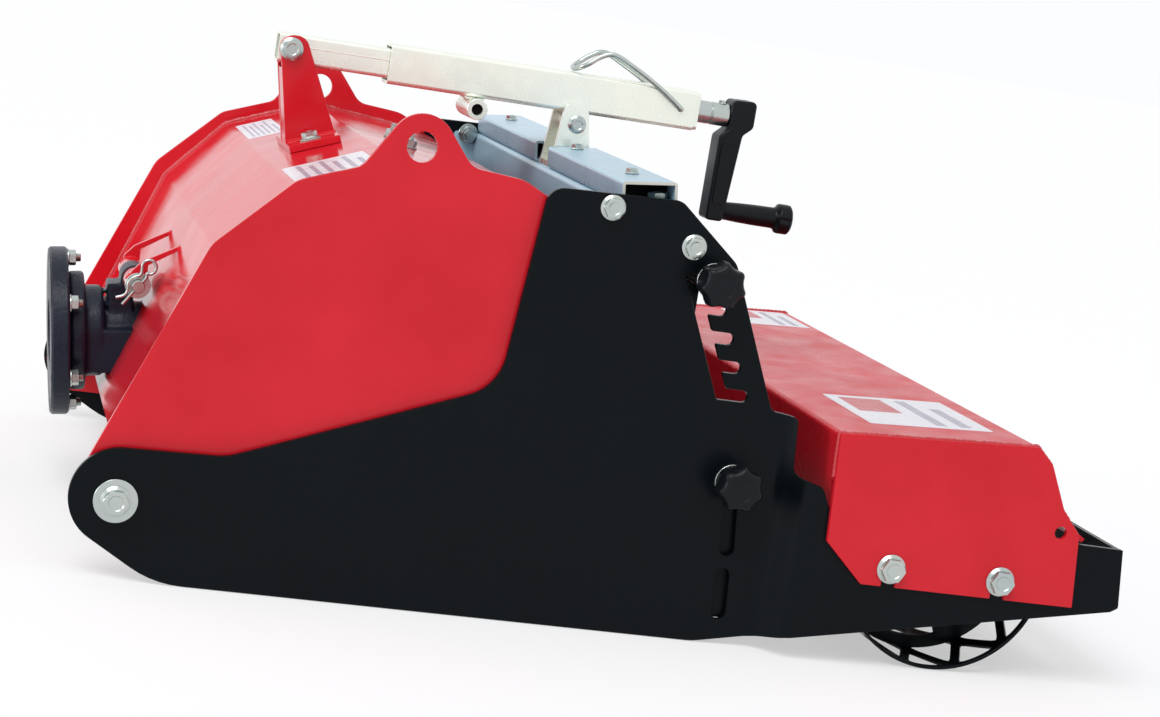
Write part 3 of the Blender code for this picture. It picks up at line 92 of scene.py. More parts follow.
HOOD_TOP = JACK_Z - 0.069
FRAME_TOP = JACK_Z - 0.0625
BEAM_X, BEAM_Z, BEAM_TILT = 0.386, FRAME_TOP - 0.012, math.radians(6.7)
BEAM_UP = Vector((-math.sin(BEAM_TILT), 0, math.cos(BEAM_TILT)))
BEAM_BOLTS = [(0.3775, FRAME_TOP - 0.014), (0.4535, FRAME_TOP - 0.0375)]
DRIVE_TILT = math.radians(7.9)
FLANGE_CENTRE = Vector((-0.0547, 0, 0.146))
DRIVE_AXIS = Vector((math.cos(DRIVE_TILT), 0, math.sin(DRIVE_TILT)))
DRIVE_UP = Vector((-DRIVE_AXIS.z, 0, DRIVE_AXIS.x))
PIN = Vector((middle("clevis_pin").x - PIVOT_X, 0, middle("clevis_pin").z))
EAR_INNER_Y, EAR_OUTER_Y = 0.054, 0.060
LUG = Vector((0.210, HOOD_TOP + 0.019))
JACK_FRONT_X, JACK_REAR_X, BAIL_X = 0.224, 0.531, 0.512
M10_HOLE, M12_HOLE, SHAFT_HOLE, PIN_HOLE = 0.0053, 0.0063, 0.0153, 0.0063


# Finishes


def new_finish(name):
    material = bpy.data.materials.new(name)
    material.use_nodes = True
    tree = material.node_tree
    return material, tree, tree.nodes["Principled BSDF"]


def feed(tree, socket, value):
    """Gives an input a value, or links another node's output to it."""
    if isinstance(value, bpy.types.NodeSocket):
        tree.links.new(value, socket)
    else:
        socket.default_value = value


def add_node(tree, kind, **values):
    """A new node. A value goes to the input of its name or, where there is none, to a setting."""
    node = tree.nodes.new(kind)
    for key, value in values.items():
        if key in node.inputs:
            feed(tree, node.inputs[key], value)
        else:
            setattr(node, key, value)
    return node


def noise_value(tree, scale, detail):
    """Noise in the piece's own metres."""
    place = tree.nodes.new("ShaderNodeTexCoord").outputs["Object"]
    node = add_node(tree, "ShaderNodeTexNoise", Scale=scale, Detail=detail, Roughness=0.55, Vector=place)
    return node.outputs["Fac"]


def ranged(tree, value, low, high, start=0.35, end=0.65):
    """Takes the part of a value between start and end to low and high."""
    limits = {"From Min": start, "From Max": end, "To Min": low, "To Max": high}
    return add_node(tree, "ShaderNodeMapRange", Value=value, **limits).outputs["Result"]


def mixed(tree, factor, first, second):
    node = add_node(tree, "ShaderNodeMix", data_type="RGBA", Factor=factor)
    for key, colour in (("A", first), ("B", second)):
        socket = next(s for s in node.inputs if s.name == key and s.type == "RGBA")
        feed(tree, socket, (*colour, 1) if isinstance(colour, tuple) else colour)
    return next(s for s in node.outputs if s.type == "RGBA")


def facing_up(tree):
    """How far a surface faces upwards, from 0 to 1."""
    normal = tree.nodes.new("ShaderNodeNewGeometry").outputs["Normal"]
    return ranged(tree, add_node(tree, "ShaderNodeSeparateXYZ", Vector=normal).outputs["Z"], 0, 1, 0.3, 1.0)


def calculated(tree, operation, *values):
    node = add_node(tree, "ShaderNodeMath", operation=operation)
    for value, socket in zip(values, node.inputs):
        tree.links.new(value, socket)
    return node.outputs[0]


def add_bumps(tree, bumps, shader):
    """Fine bumps, one over another. Each is (noise scale, depth in metres)."""
    last = {}
    for scale, depth in bumps:
        height = noise_value(tree, scale, 2.0)
        node = add_node(tree, "ShaderNodeBump", Strength=1.0, Distance=depth, Height=height, **last)
        last = {"Normal": node.outputs["Normal"]}
    tree.links.new(last["Normal"], shader.inputs["Normal"])


def paint(name, colour, deep, dust_and_highlight, roughness, bumps, specular=0.5, coat=0.0, dust_and_highlight_share=0.25):
    """Paint or plastic: clouds of a deeper tone, paler specks on what faces up (dusty ones, and on the weld
    bead a painted highlight), uneven gloss and fine bumps.
    """
    material, tree, shader = new_finish(name)
    clouds = ranged(tree, noise_value(tree, 9.0, 4.0), 0, 1)
    tone = mixed(tree, clouds, colour, deep)
    # Specks on what faces up take the paler tone: dusty marks, and on the weld bead a painted highlight.
    specks = ranged(tree, noise_value(tree, 160.0, 5.0), 0, dust_and_highlight_share, 0.48, 0.72)
    tone = mixed(tree, calculated(tree, "MULTIPLY", specks, facing_up(tree)), tone, dust_and_highlight)
    tree.links.new(tone, shader.inputs["Base Color"])
    tree.links.new(ranged(tree, noise_value(tree, 22.0, 5.0), *roughness), shader.inputs["Roughness"])
    shader.inputs["Specular IOR Level"].default_value = specular
    shader.inputs["Coat Weight"].default_value = coat
    shader.inputs["Coat Roughness"].default_value = 0.12
    add_bumps(tree, bumps, shader)
    return material


def metal(name, colour, second, roughness, bumps, metallic=1.0):
    """Bare or plated metal with clouds of a second tone."""
    material, tree, shader = new_finish(name)
    shader.inputs["Metallic"].default_value = metallic
    clouds = ranged(tree, noise_value(tree, 14.0, 4.0), 0, 1)
    tree.links.new(mixed(tree, clouds, colour, second), shader.inputs["Base Color"])
    tree.links.new(ranged(tree, noise_value(tree, 45.0, 6.0), *roughness), shader.inputs["Roughness"])
    add_bumps(tree, bumps, shader)
    return material


RED = paint(
    "red_enamel", (0.67, 0.0145, 0.027), (0.60, 0.0100, 0.0195), (0.62, 0.45, 0.40), (0.09, 0.17),
    [(420.0, 0.00002), (7.0, 0.0006)], 0.19, 0.10, 0.04,
)
COVER_RED = paint(
    "red_enamel_sheet", (0.65, 0.0145, 0.027), (0.58, 0.0100, 0.0195), (0.62, 0.45, 0.40), (0.24, 0.38),
    [(420.0, 0.00003), (7.0, 0.0008)], 0.15, 0.06, 0.04,
)
# The weld bead: red paint, with a pinker tone and pale tops that are painted highlight of its rough surface.
WELD_RED_AND_PAINTED_HIGHLIGHT = paint(
    "red_weld_seam_and_painted_highlight", (0.58, 0.075, 0.085), (0.50, 0.020, 0.030), (0.70, 0.52, 0.50), (0.20, 0.40),
    [(700.0, 0.0004)], 0.4, 0.10, 0.55,
)
BLACK = paint(
    "black_powder_coat", (0.0028, 0.0048, 0.0064), (0.0022, 0.0038, 0.0052), (0.05, 0.05, 0.045),
    (0.20, 0.34),
    [(600.0, 0.00002), (9.0, 0.0004)], 0.10, 0.0, 0.20,
)
GREY = paint(
    "grey_enamel", (0.405, 0.590, 0.715), (0.385, 0.565, 0.690), (0.55, 0.64, 0.70), (0.27, 0.33),
    [(500.0, 0.00001)], 0.4, 0.10, 0.06,
)
CAST = paint(
    "cast_iron_enamel", (0.0080, 0.0135, 0.0290), (0.0055, 0.0090, 0.0190), (0.05, 0.06, 0.07), (0.30, 0.48),
    [(260.0, 0.0005), (1100.0, 0.0001)], 0.22, 0.05, 0.20,
)
PLASTIC = paint(
    "black_moulding", (0.0048, 0.0064, 0.0086), (0.0038, 0.0050, 0.0068), (0.05, 0.05, 0.05), (0.28, 0.40),
    [(700.0, 0.00008)], 0.17, 0.0, 0.15,
)
ZINC = metal("zinc_plating", (0.53, 0.56, 0.52), (0.44, 0.50, 0.49), (0.20, 0.34), [(600.0, 0.00003)])
BRIGHT_ZINC = metal(
    "bright_zinc_tube", (0.93, 0.95, 0.84), (0.87, 0.92, 0.84), (0.22, 0.34), [(600.0, 0.00002)], 0.70
)
STEEL = metal("bare_steel_look", (0.36, 0.36, 0.37), (0.25, 0.21, 0.18), (0.32, 0.55), [(300.0, 0.0002)])
TUBE_RIM = paint(
    "bare_tube_edge", (0.72, 0.70, 0.62), (0.62, 0.61, 0.56), (0.6, 0.6, 0.55), (0.30, 0.45),
    [(500.0, 0.00004)], 0.4,
)
# Near-black painted shade, for sheets and cores set inside open tubes and bores where there is only shade.
PAINTED_SHADE = paint(
    "dark_inside", (0.004, 0.004, 0.005), (0.003, 0.003, 0.004), (0.01, 0.01, 0.01), (0.6, 0.8),
    [(300.0, 0.0001)], 0.1,
)
STICKER, STICKER_RED, STICKER_GREY = (
    paint(name, *tones, (0.25, 0.35), [(300.0, 0.00003)], 0.4)
    for name, tones in (
        ("plain_sticker", ((0.80, 0.79, 0.84), (0.76, 0.74, 0.80), (0.6, 0.6, 0.55))),
        ("sticker_red", ((0.55, 0.03, 0.04), (0.50, 0.02, 0.03), (0.6, 0.5, 0.5))),
        ("sticker_grey", ((0.42, 0.38, 0.48), (0.36, 0.33, 0.42), (0.5, 0.5, 0.5))),
    )
)
# Of two finishes with one slot, the later one is for the CAD nodes that stay
SLOTS = {
    COVER_RED: "red_paint", BRIGHT_ZINC: "zinc_plate", RED: "red_paint", BLACK: "black_paint",
    GREY: "grey_paint", CAST: "cast_iron_paint", ZINC: "zinc_plate",
    STEEL: "bare_steel", PLASTIC: "black_plastic",
}
LOOK_OF = {slot: material for material, slot in SLOTS.items()}


# Shape helpers


def along(direction):
    """A turn that takes +Z to a direction."""
    return Vector((0, 0, 1)).rotation_difference(Vector(direction)).to_matrix().to_4x4()


def axes(first, second, third):
    """A turn that takes X, Y and Z to three directions."""
    return Matrix((first, second, third)).transposed().to_4x4()


def moved(shape, place, turn):
    bmesh.ops.transform(shape, matrix=Matrix.Translation(place) @ turn, verts=shape.verts)
    return shape


def add_object(name, data):
    thing = bpy.data.objects.new(name, data)
    bpy.context.scene.collection.objects.link(thing)
    return thing


def mesh_of(shape, name="shape"):
    mesh = bpy.data.meshes.new(name)
    shape.to_mesh(mesh)
    shape.free()
    return mesh


def evaluated_mesh(thing, **options):
    """The mesh of an object as its modifiers leave it."""
    bpy.context.view_layer.update()
    graph = bpy.context.evaluated_depsgraph_get()
    return bpy.data.meshes.new_from_object(thing.evaluated_get(graph), depsgraph=graph, **options)


# An edge that turns by more than this many degrees stays sharp
SHEET, MACHINED, MOULDED, BEAD = 35, 28, 50, 60


def piece(name, shape, material, body, stands_for=(), angle=SHEET, weighted=True):
    """Makes an object from a shape, in place, that rides on a body and may stand for CAD nodes."""
    bmesh.ops.remove_doubles(shape, verts=shape.verts, dist=0.000005)
    bmesh.ops.recalc_face_normals(shape, faces=shape.faces)
    mesh = mesh_of(shape, name)
    mesh.shade_smooth()
    mesh.set_sharp_from_angle(angle=math.radians(angle))
    thing = add_object(name, mesh)
    thing.location.x = PIVOT_X
    mesh.materials.append(material)
    if weighted:
        modifier = thing.modifiers.new("Flat faces stay flat", "WEIGHTED_NORMAL")
        modifier.keep_sharp = True
    return settle(thing, material, body, stands_for)


def dressed(node, shape, material, body, angle=SHEET, weighted=True):
    """The piece that stands for a CAD node and is named after it."""
    return piece(node + "_fine", shape, material, body, node, angle, weighted)


def hardware(name, shape, body):
    """Zinc-plated fasteners that only the scene has."""
    piece(name, shape, ZINC, body, angle=MACHINED)


def settle(thing, material, body, stands_for=()):
    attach(thing, body)
    if stands_for:
        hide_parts(*([stands_for] if isinstance(stands_for, str) else stands_for))
    return thing


def joined(*shapes):
    """One shape from several."""
    whole = bmesh.new()
    for shape in shapes:
        mesh = mesh_of(shape)
        whole.from_mesh(mesh)
        bpy.data.meshes.remove(mesh)
    return whole


def round_corners(corners, step=6, closed=True):
    """Points of an outline. A corner is (x, z), or (x, z, radius) where it is rounded."""
    points = []
    count = len(corners)
    for i, corner in enumerate(corners):
        here = Vector(corner[:2])
        radius = corner[2] if len(corner) > 2 else 0
        at_end = not closed and i in (0, count - 1)
        if radius <= 0 or at_end:
            points.append(here)
            continue
        back = (Vector(corners[i - 1][:2]) - here).normalized()
        ahead = (Vector(corners[(i + 1) % count][:2]) - here).normalized()
        half = back.angle(ahead) / 2
        centre = here + (back + ahead).normalized() * radius / math.sin(half)
        first = here + back * radius / math.tan(half) - centre
        last = here + ahead * radius / math.tan(half) - centre
        sweep = first.angle_signed(last)
        steps = max(2, round(abs(math.degrees(sweep)) / step))
        points += [centre + Matrix.Rotation(-sweep * k / steps, 2) @ first for k in range(steps + 1)]
    return points


def arc(x, z, radius, start, end, steps):
    angles = [math.radians(start + (end - start) * k / steps) for k in range(steps + 1)]
    return [(x + radius * math.cos(a), z + radius * math.sin(a)) for a in angles]


def ring(x, z, radius, steps=40):
    return arc(x, z, radius, 0, 360 * (steps - 1) / steps, steps - 1)


def slot_outline(top, bottom, width):
    """A straight slot with round ends between two (x, z) points."""
    top, bottom = Vector(top), Vector(bottom)
    angle = math.degrees(math.atan2(top.y - bottom.y, top.x - bottom.x))
    ends = ((top, angle - 90), (bottom, angle + 90))
    return [p for end, start in ends for p in arc(end.x, end.y, width / 2, start, start + 180, 12)]


def strip(outer, thickness):
    """The closed outline of a bent sheet, from the points of its outer side."""
    inner = []
    for i, here in enumerate(outer):
        before = (here - outer[i - 1]).normalized() if i else None
        after = (outer[i + 1] - here).normalized() if i < len(outer) - 1 else None
        first, second = before or after, after or before
        normal = Vector((first.y + second.y, -first.x - second.x)).normalized()
        inner.append(here + normal * thickness / math.sqrt((1 + first.dot(second)) / 2))
    return outer + inner[::-1]


def flat(outlines, thickness, edge, rounding=1):
    """A plate in its own XY plane with rounded edges. The first outline is its rim, the rest are holes."""
    curve = bpy.data.curves.new("flat", "CURVE")
    curve.dimensions = "2D"
    curve.fill_mode = "BOTH"
    curve.extrude = thickness / 2 - edge
    curve.bevel_depth = edge
    curve.bevel_resolution = rounding
    curve.offset = -edge
    for outline in outlines:
        spline = curve.splines.new("POLY")
        spline.points.add(len(outline) - 1)
        for point, (x, y) in zip(spline.points, outline):
            point.co = (x, y, 0, 1)
        spline.use_cyclic_u = True
    guide = add_object("flat", curve)
    mesh = evaluated_mesh(guide)
    bpy.data.objects.remove(guide)
    bpy.data.curves.remove(curve)
    shape = bmesh.new()
    shape.from_mesh(mesh)
    bpy.data.meshes.remove(mesh)
    bmesh.ops.remove_doubles(shape, verts=shape.verts, dist=0.000005)
    return shape


def plate(outlines, y_first, y_second, edge=0.0006, rounding=1):
    """A plate that lies in the XZ plane between two Y values."""
    shape = flat(outlines, abs(y_second - y_first), edge, rounding)
    return moved(shape, (0, (y_first + y_second) / 2, 0), Matrix.Rotation(math.pi / 2, 4, "X"))


def skin(shape, pairs):
    """Faces between pairs of closed loops of points."""
    for first, second in pairs:
        for k in range(len(first)):
            nearby = (k + 1) % len(first)
            shape.faces.new((first[k], first[nearby], second[nearby], second[k]))


def spun(profile, place, direction, sides=48, hollow=False):
    """Rings of points about an axis. A radius or a height may be a number or a function of the angle."""
    turn = Matrix.Translation(place) @ along(direction)
    shape = bmesh.new()
    loops = []
    for radius, height in profile:
        loop = []
        for k in range(sides):
            angle = 2 * math.pi * k / sides
            r = radius(angle) if callable(radius) else radius
            h = height(angle) if callable(height) else height
            loop.append(shape.verts.new(turn @ Vector((r * math.cos(angle), r * math.sin(angle), h))))
        loops.append(loop)
    skin(shape, list(zip(loops, loops[1:])) + ([(loops[-1], loops[0])] if hollow else []))
    if not hollow:
        shape.faces.new(loops[0])
        shape.faces.new(loops[-1])
    return shape


def cylinder(start, end, radius, sides=40, edge=0.0005):
    start, end = Vector(start), Vector(end)
    long = (end - start).length
    profile = [(radius - edge, 0), (radius, edge), (radius, long - edge), (radius - edge, long)]
    return spun(profile, start, end - start, sides)


def crossing(x, z, first, second, radius, sides=40, edge=0.0005):
    """A round bar along Y, between two Y values."""
    return cylinder((x, first, z), (x, second, z), radius, sides, edge)


def hexagon(across, low, high, chamfer_low=False):
    """Profile of a hexagon, given across its flats, with turned corners."""
    apothem = across / 2
    circle = 0.96 * apothem

    def flat_radius(angle):
        return apothem / math.cos((angle % (math.pi / 3)) - math.pi / 6)

    def top(angle):
        return high - (flat_radius(angle) - circle) * 0.5

    def bottom(angle):
        return low + (flat_radius(angle) - circle) * 0.5

    lower = [(circle, low), (flat_radius, bottom)] if chamfer_low else [(flat_radius, low)]
    return [*lower, (flat_radius, top), (circle, high)]


def bolt_head(place, direction, size, washer=None):
    """Hexagon flange bolt: an optional washer of (radius, height), the flange and a dished head."""
    base = washer[1] if washer else 0.0
    flange = 1.09 * size
    across = 1.60 * size
    flange_top = base + 0.25 * size
    shapes = []
    if washer:
        shapes.append(spun(washer_profile(size / 2, *washer), place, direction, 56, True))
    rim = [(0, base), (flange - 0.0004, base), (flange, base + 0.0004), (flange, base + 0.09 * size)]
    rim += [(0.80 * flange, flange_top), (0, flange_top)]
    shapes.append(spun(rim, place, direction, 48))
    head = hexagon(across, flange_top - 0.0004, base + 0.78 * size)
    dish = 0.70 * across / 2
    head += [(dish, base + 0.78 * size), (dish - 0.0008, base + 0.72 * size), (0, base + 0.72 * size)]
    shapes.append(spun(head, place, direction, 48))
    return joined(*shapes)


def washer_profile(bore, radius, height):
    edge = 0.0003
    return [
        (bore, 0), (radius - edge, 0), (radius, edge), (radius, height - edge), (radius - edge, height),
        (bore, height),
    ]


def nut(place, direction, size, proud=0.004, washer=True):
    """A nut with its washer and the threaded end of the bolt standing proud."""
    base = 0.0016 if washer else 0.0
    shapes = []
    if washer:
        shapes.append(spun(washer_profile(size / 2, 1.05 * size, base), place, direction, 40, True))
    high = base + 0.8 * size
    body = [(size / 2, base), *hexagon(1.6 * size, base, high, True), (size / 2, high)]
    shapes.append(spun(body, place, direction, 48, True))
    shapes.append(spun(thread_profile(size / 2, high - 0.001, high + proud), place, direction, 24))
    return joined(*shapes)


def thread_profile(radius, low, high, pitch=0.0014):
    """A threaded end, as grooves round the shank."""
    profile = [(0, low), (radius, low)]
    z = low + pitch / 2
    while z < high - pitch:
        profile += [(radius, z), (radius - 0.0005, z + pitch / 2)]
        z += pitch
    return profile + [(radius, z), (radius - 0.0008, high), (0, high)]


def sweep(points, radii, sides=8):
    """A tube along points, with a radius at each."""
    shape = bmesh.new()
    loops = []
    angles = [2 * math.pi * k / sides for k in range(sides)]
    for i, (here, r) in enumerate(zip(points, radii)):
        turn = along(points[min(i + 1, len(points) - 1)] - points[max(i - 1, 0)])
        rim = [here + turn @ Vector((r * math.cos(a), r * math.sin(a), 0)) for a in angles]
        loops.append([shape.verts.new(point) for point in rim])
    skin(shape, zip(loops, loops[1:]))
    shape.faces.new(loops[0])
    shape.faces.new(loops[-1])
    return shape


def even_steps(corners, step):
    """Points a step apart along a line of corners."""
    points = []
    for first, second in zip(corners, corners[1:]):
        first, second = Vector(first), Vector(second)
        count = max(1, round((second - first).length / step))
        points += [first.lerp(second, k / count) for k in range(count)]
    return points + [Vector(corners[-1])]


def weld(corners, radius, step=0.0016):
    """A weld bead along corners, with its ripples."""
    points = even_steps(corners, step)
    apart = [Vector((0, 0, 0)), Vector((7, 0, 0)), Vector((0, 7, 0))]
    wander = [Vector([noise.noise(p * 90 + offset) for offset in apart]) for p in points]
    places = [p + w * radius * 0.18 for p, w in zip(points, wander)]
    radii = [radius * (1.0 + 0.14 * math.cos(i * 2.1) + 0.12 * w.x) for i, w in enumerate(wander)]
    return sweep(places, radii)


def seam(corners, y, radius):
    """A weld bead at one Y value, along (x, z) corners."""
    return weld([(x, y, z) for x, z in corners], radius)


def wire(node, points, radius, material, body):
    """A bent wire through points, as a smooth curve that stands for a CAD node."""
    name = node + "_fine"
    curve = bpy.data.curves.new(name, "CURVE")
    curve.dimensions = "3D"
    curve.bevel_depth = radius
    curve.bevel_resolution = 4
    curve.resolution_u = 8
    curve.use_fill_caps = True
    spline = curve.splines.new("BEZIER")
    spline.bezier_points.add(len(points) - 1)
    for point, place in zip(spline.bezier_points, points):
        point.co = place
        point.handle_left_type = point.handle_right_type = "AUTO"
    curve.materials.append(material)
    thing = add_object(name, curve)
    thing.location.x = PIVOT_X
    return settle(thing, material, body, node)


def tube_outline(width, height, wall, corner):
    """Cross section of a rectangular tube with round corners, and its bore."""
    rims = []
    for inset, radius in ((0, corner), (wall, max(corner - wall, 0.0008))):
        x, y = width / 2 - inset, height / 2 - inset
        rims.append(round_corners([(-x, -y, radius), (x, -y, radius), (x, y, radius), (-x, y, radius)], 15))
    return rims


def square_tube(width, height, wall, corner, start, end, tilt=None):
    """A rectangular tube from start to end, with its width across and its height upwards."""
    start, end = Vector(start), Vector(end)
    run = (end - start).normalized()
    up = (tilt or Vector((0, 0, 1))).normalized()
    across = up.cross(run)
    shape = flat(tube_outline(width, height, wall, corner), (end - start).length, 0.0004)
    return moved(shape, (start + end) / 2, axes(across, up, run))


# Side frame


def frame_outline():
    corners = [
        *arc(0.003, PIVOT_Z + 0.0025, 0.042, 90, 241, 36),
        (0.040, 0, 0.090),
        (0.511, 0, 0.060),
        (0.562, 0.0100, 0.020),
        (0.586, 0.0182, 0.020),
        (REAR_X - 0.007, 0.0738, 0.004),
        (REAR_X, 0.078, 0.003),
        (REAR_X - 0.006, 0.131, 0.001),
        (0.606, 0.134, 0.010),
        (0.596, 0.1545, 0.006),
        (0.5725, 0.160, 0.009),
        (0.570, 0.2085, 0.004),
        (0.5475, 0.2105, 0.009),
        (0.494, 0.333, 0.016),
        (0.437, FRAME_TOP, 0.014),
        (0.321, FRAME_TOP - 0.004, 0.016),
        (0.305, 0.201, 0.043),
        (0.086, 0.114, 0.050),
    ]
    return round_corners(corners)


COMB_SLOPE = math.radians(66.1)
COMB_PITCH, COMB_NOTCH, COMB_REACH, COMB_CHANNEL = 0.105 / 4, 0.0105, 0.0248, 0.012


def comb_outline():
    """The comb slot: a sloping channel with a round notch at each height."""
    half = COMB_NOTCH / 2
    down = Vector((math.cos(COMB_SLOPE), -math.sin(COMB_SLOPE))) * COMB_PITCH
    places = [Vector((GRID_X, GRID_Z)) + down * k for k in range(5)]

    def front(z):
        return GRID_X - COMB_REACH + (GRID_Z - z) / math.tan(COMB_SLOPE)

    top, bottom = GRID_Z + half, places[-1].y - half
    corners = [(front(top), top, 0.003), (front(bottom), bottom, 0.003)]
    for x, z in reversed(places):
        low, high = z - half, z + half
        if low > bottom:
            corners.append((front(low) + COMB_CHANNEL, low, 0.0015))
        corners += [(x + half, low, half * 0.98), (x + half, high, half * 0.98)]
        if high < top:
            corners.append((front(high) + COMB_CHANNEL, high, 0.0015))
    return round_corners(corners, 15)


def bend_plate(shape, side):
    """Sets the part of the plate behind the bend lines outwards, with rounded bends."""
    cuts = [middle_x + BEND_RADIUS * k / 3 for middle_x in (BEND_FRONT_X, BEND_REAR_X) for k in range(-3, 4)]
    for x in cuts:
        everything = shape.verts[:] + shape.edges[:] + shape.faces[:]
        bmesh.ops.bisect_plane(shape, geom=everything, plane_co=(x, 0, 0), plane_no=(1, 0, 0))
    slope = JOGGLE / (BEND_REAR_X - BEND_FRONT_X)

    def rounded(x):
        if x <= -BEND_RADIUS:
            return 0.0
        if x >= BEND_RADIUS:
            return x
        return (x + BEND_RADIUS) ** 2 / (4 * BEND_RADIUS)

    for vertex in shape.verts:
        rise = rounded(vertex.co.x - BEND_FRONT_X) - rounded(vertex.co.x - BEND_REAR_X)
        vertex.co.y += side * slope * rise


def make_frame_plates():
    slope = math.radians(84.0)
    down = Vector((math.cos(slope), -math.sin(slope)))
    start = Vector((BLADE_X, BLADE_Z))
    blade_slot = slot_outline(start, start + down * 0.0593, 0.0135)
    lower_slot = slot_outline((0.5285, 0.0612), (0.5308, 0.0287), 0.0135)
    holes = [
        comb_outline(), ring(0, PIVOT_Z, M12_HOLE), ring(ROLLER_X, ROLLER_Z, SHAFT_HOLE), blade_slot,
        lower_slot,
    ]
    holes += [ring(x, z, M10_HOLE) for x, z in BEAM_BOLTS] + [ring(x, z, M12_HOLE) for x, z in COVER_BOLTS]
    for word, side in SIDES.items():
        shape = plate([frame_outline(), *holes], side * FRAME_INNER_Y, side * FRAME_Y)
        bend_plate(shape, side)
        piece(f"side_plate_{word}", shape, BLACK, "frame", f"frame_plate_{word}")


def through_bolt(name, x, z, outward, outer, inner, body, washer=None, proud=0.004, inner_washer=True):
    """An M12 bolt through the plates, with its head outside and its nut inside."""
    side = outward.y
    head = bolt_head(Vector((x, side * (outer + GAP), z)), outward, 0.012, washer)
    end = nut(Vector((x, side * (inner - GAP), z)), -outward, 0.012, proud, inner_washer)
    shank = crossing(x, z, side * (outer + 0.001), side * (inner - 0.001), 0.006, 24)
    dressed(name, joined(head, end, shank), ZINC, body, MACHINED)


def make_frame_bolts():
    """Bolts of the beam, the cover and the pivots, with nuts on the inner ends."""
    for word, side in SIDES.items():
        outward = Vector((0, side, 0))
        heads, nuts = [], []
        for x, z in BEAM_BOLTS:
            heads.append(bolt_head(Vector((x, side * (FRAME_Y + GAP), z)), outward, 0.010))
            nuts.append(nut(Vector((x, side * (FRAME_INNER_Y - 0.0055), z)), -outward, 0.010))
        hardware(f"beam_bolts_{word}", joined(*heads, *nuts), "frame")
        for place, (x, z) in zip(("front", "rear"), COVER_BOLTS):
            name = f"cover_bolt_{place}_{word}"
            through_bolt(name, x, z, outward, COVER_Y, REAR_INNER_Y, "frame", None, 0.003, False)
        name = f"pivot_bolt_{word}"
        through_bolt(name, 0, PIVOT_Z, outward, FRAME_Y, HOOD_INNER_Y, "hood", (0.0185, 0.003))


# Cross beam


def beam_floor(x, lift=0.0):
    return BEAM_Z + (x - BEAM_X) * math.tan(BEAM_TILT) + lift / math.cos(BEAM_TILT)


def make_beam():
    width, height = 0.050, 0.020
    rear = BEAM_X + width
    bend = 0.006
    sheet = [
        (BEAM_X, BEAM_Z - 0.076), (BEAM_X, beam_floor(BEAM_X), bend), (rear, beam_floor(rear), bend),
        (rear, BEAM_Z - 0.033),
    ]
    end_outer = FRAME_INNER_Y - GAP
    end_inner = end_outer - 0.005
    shapes = [plate([strip(round_corners(sheet, 15, False), 0.004)], -end_inner, end_inner, 0.0005)]
    end_corners = [
        (0.363, FRAME_TOP - 0.013, 0.004), (0.402, FRAME_TOP - 0.0135, 0.004),
        (0.440, FRAME_TOP - 0.010, 0.006),
        (0.468, FRAME_TOP - 0.030, 0.006), (0.466, FRAME_TOP - 0.052, 0.006),
        (0.430, FRAME_TOP - 0.058, 0.004),
        (BEAM_X, FRAME_TOP - 0.058, 0.004), (0.363, FRAME_TOP - 0.030, 0.006),
    ]
    holes = [ring(x, z, M10_HOLE, 24) for x, z in BEAM_BOLTS]
    for side in SIDES.values():
        shapes.append(plate([round_corners(end_corners), *holes], side * end_inner, side * end_outer, 0.0005))
        inside = side * (end_inner - 0.001)
        rim = [
            (BEAM_X + 0.004, BEAM_Z - 0.056), (BEAM_X + 0.004, BEAM_Z - 0.006),
            (rear - 0.004, beam_floor(rear) - 0.006), (rear - 0.004, BEAM_Z - 0.033),
        ]
        shapes.append(seam(rim, inside, 0.0022))
    dressed("cross_beam", joined(*shapes), GREY, "frame")
    middle_x = BEAM_X + width / 2
    middle_z = beam_floor(middle_x, GAP + height / 2)
    for word, side in SIDES.items():
        near, far = side * 0.030, side * (FRAME_INNER_Y - 0.008)
        start, end = Vector((middle_x, near, middle_z)), Vector((middle_x, far, middle_z))
        tube = square_tube(width - 0.001, height, 0.0025, 0.0035, start, end, BEAM_UP)
        dressed(f"beam_tube_{word}", tube, GREY, "frame")
        # A near-black sheet deep inside each tube's open end is painted shade inside the tube.
        inside_y = side * (FRAME_INNER_Y - 0.036)
        rim = tube_outline(width - 0.0066, height - 0.0056, 0.002, 0.0015)[0]
        turn = axes(BEAM_UP.cross(Vector((0, side, 0))), BEAM_UP, (0, side, 0))
        cap = moved(flat([rim], 0.003, 0.0003), (middle_x, inside_y, middle_z), turn)
        piece(f"beam_tube_painted_shade_{word}", cap, PAINTED_SHADE, "frame")
        rim = flat(tube_outline(width - 0.0014, height - 0.0004, 0.0025, 0.0033), 0.0004, 0.0001)
        rim = moved(rim, (middle_x, far + side * 0.0003, middle_z), turn)
        piece(f"beam_tube_rim_{word}", rim, TUBE_RIM, "frame")
        lying = Vector((middle_x + 0.0107, far - side * 0.0125, beam_floor(middle_x + 0.0107, GAP + 0.0026)))
        hardware(f"beam_tube_nut_{word}", bolt_head(lying, BEAM_UP, 0.0095), "frame")
        top = beam_floor(middle_x, GAP + height)
        for k, y in enumerate((0.052, FRAME_INNER_Y - 0.072)):
            place = Vector((middle_x - 0.002, side * y, top + 0.0001))
            hardware(f"beam_tube_bolt_{word}_{k + 1}", bolt_head(place, BEAM_UP, 0.006), "frame")


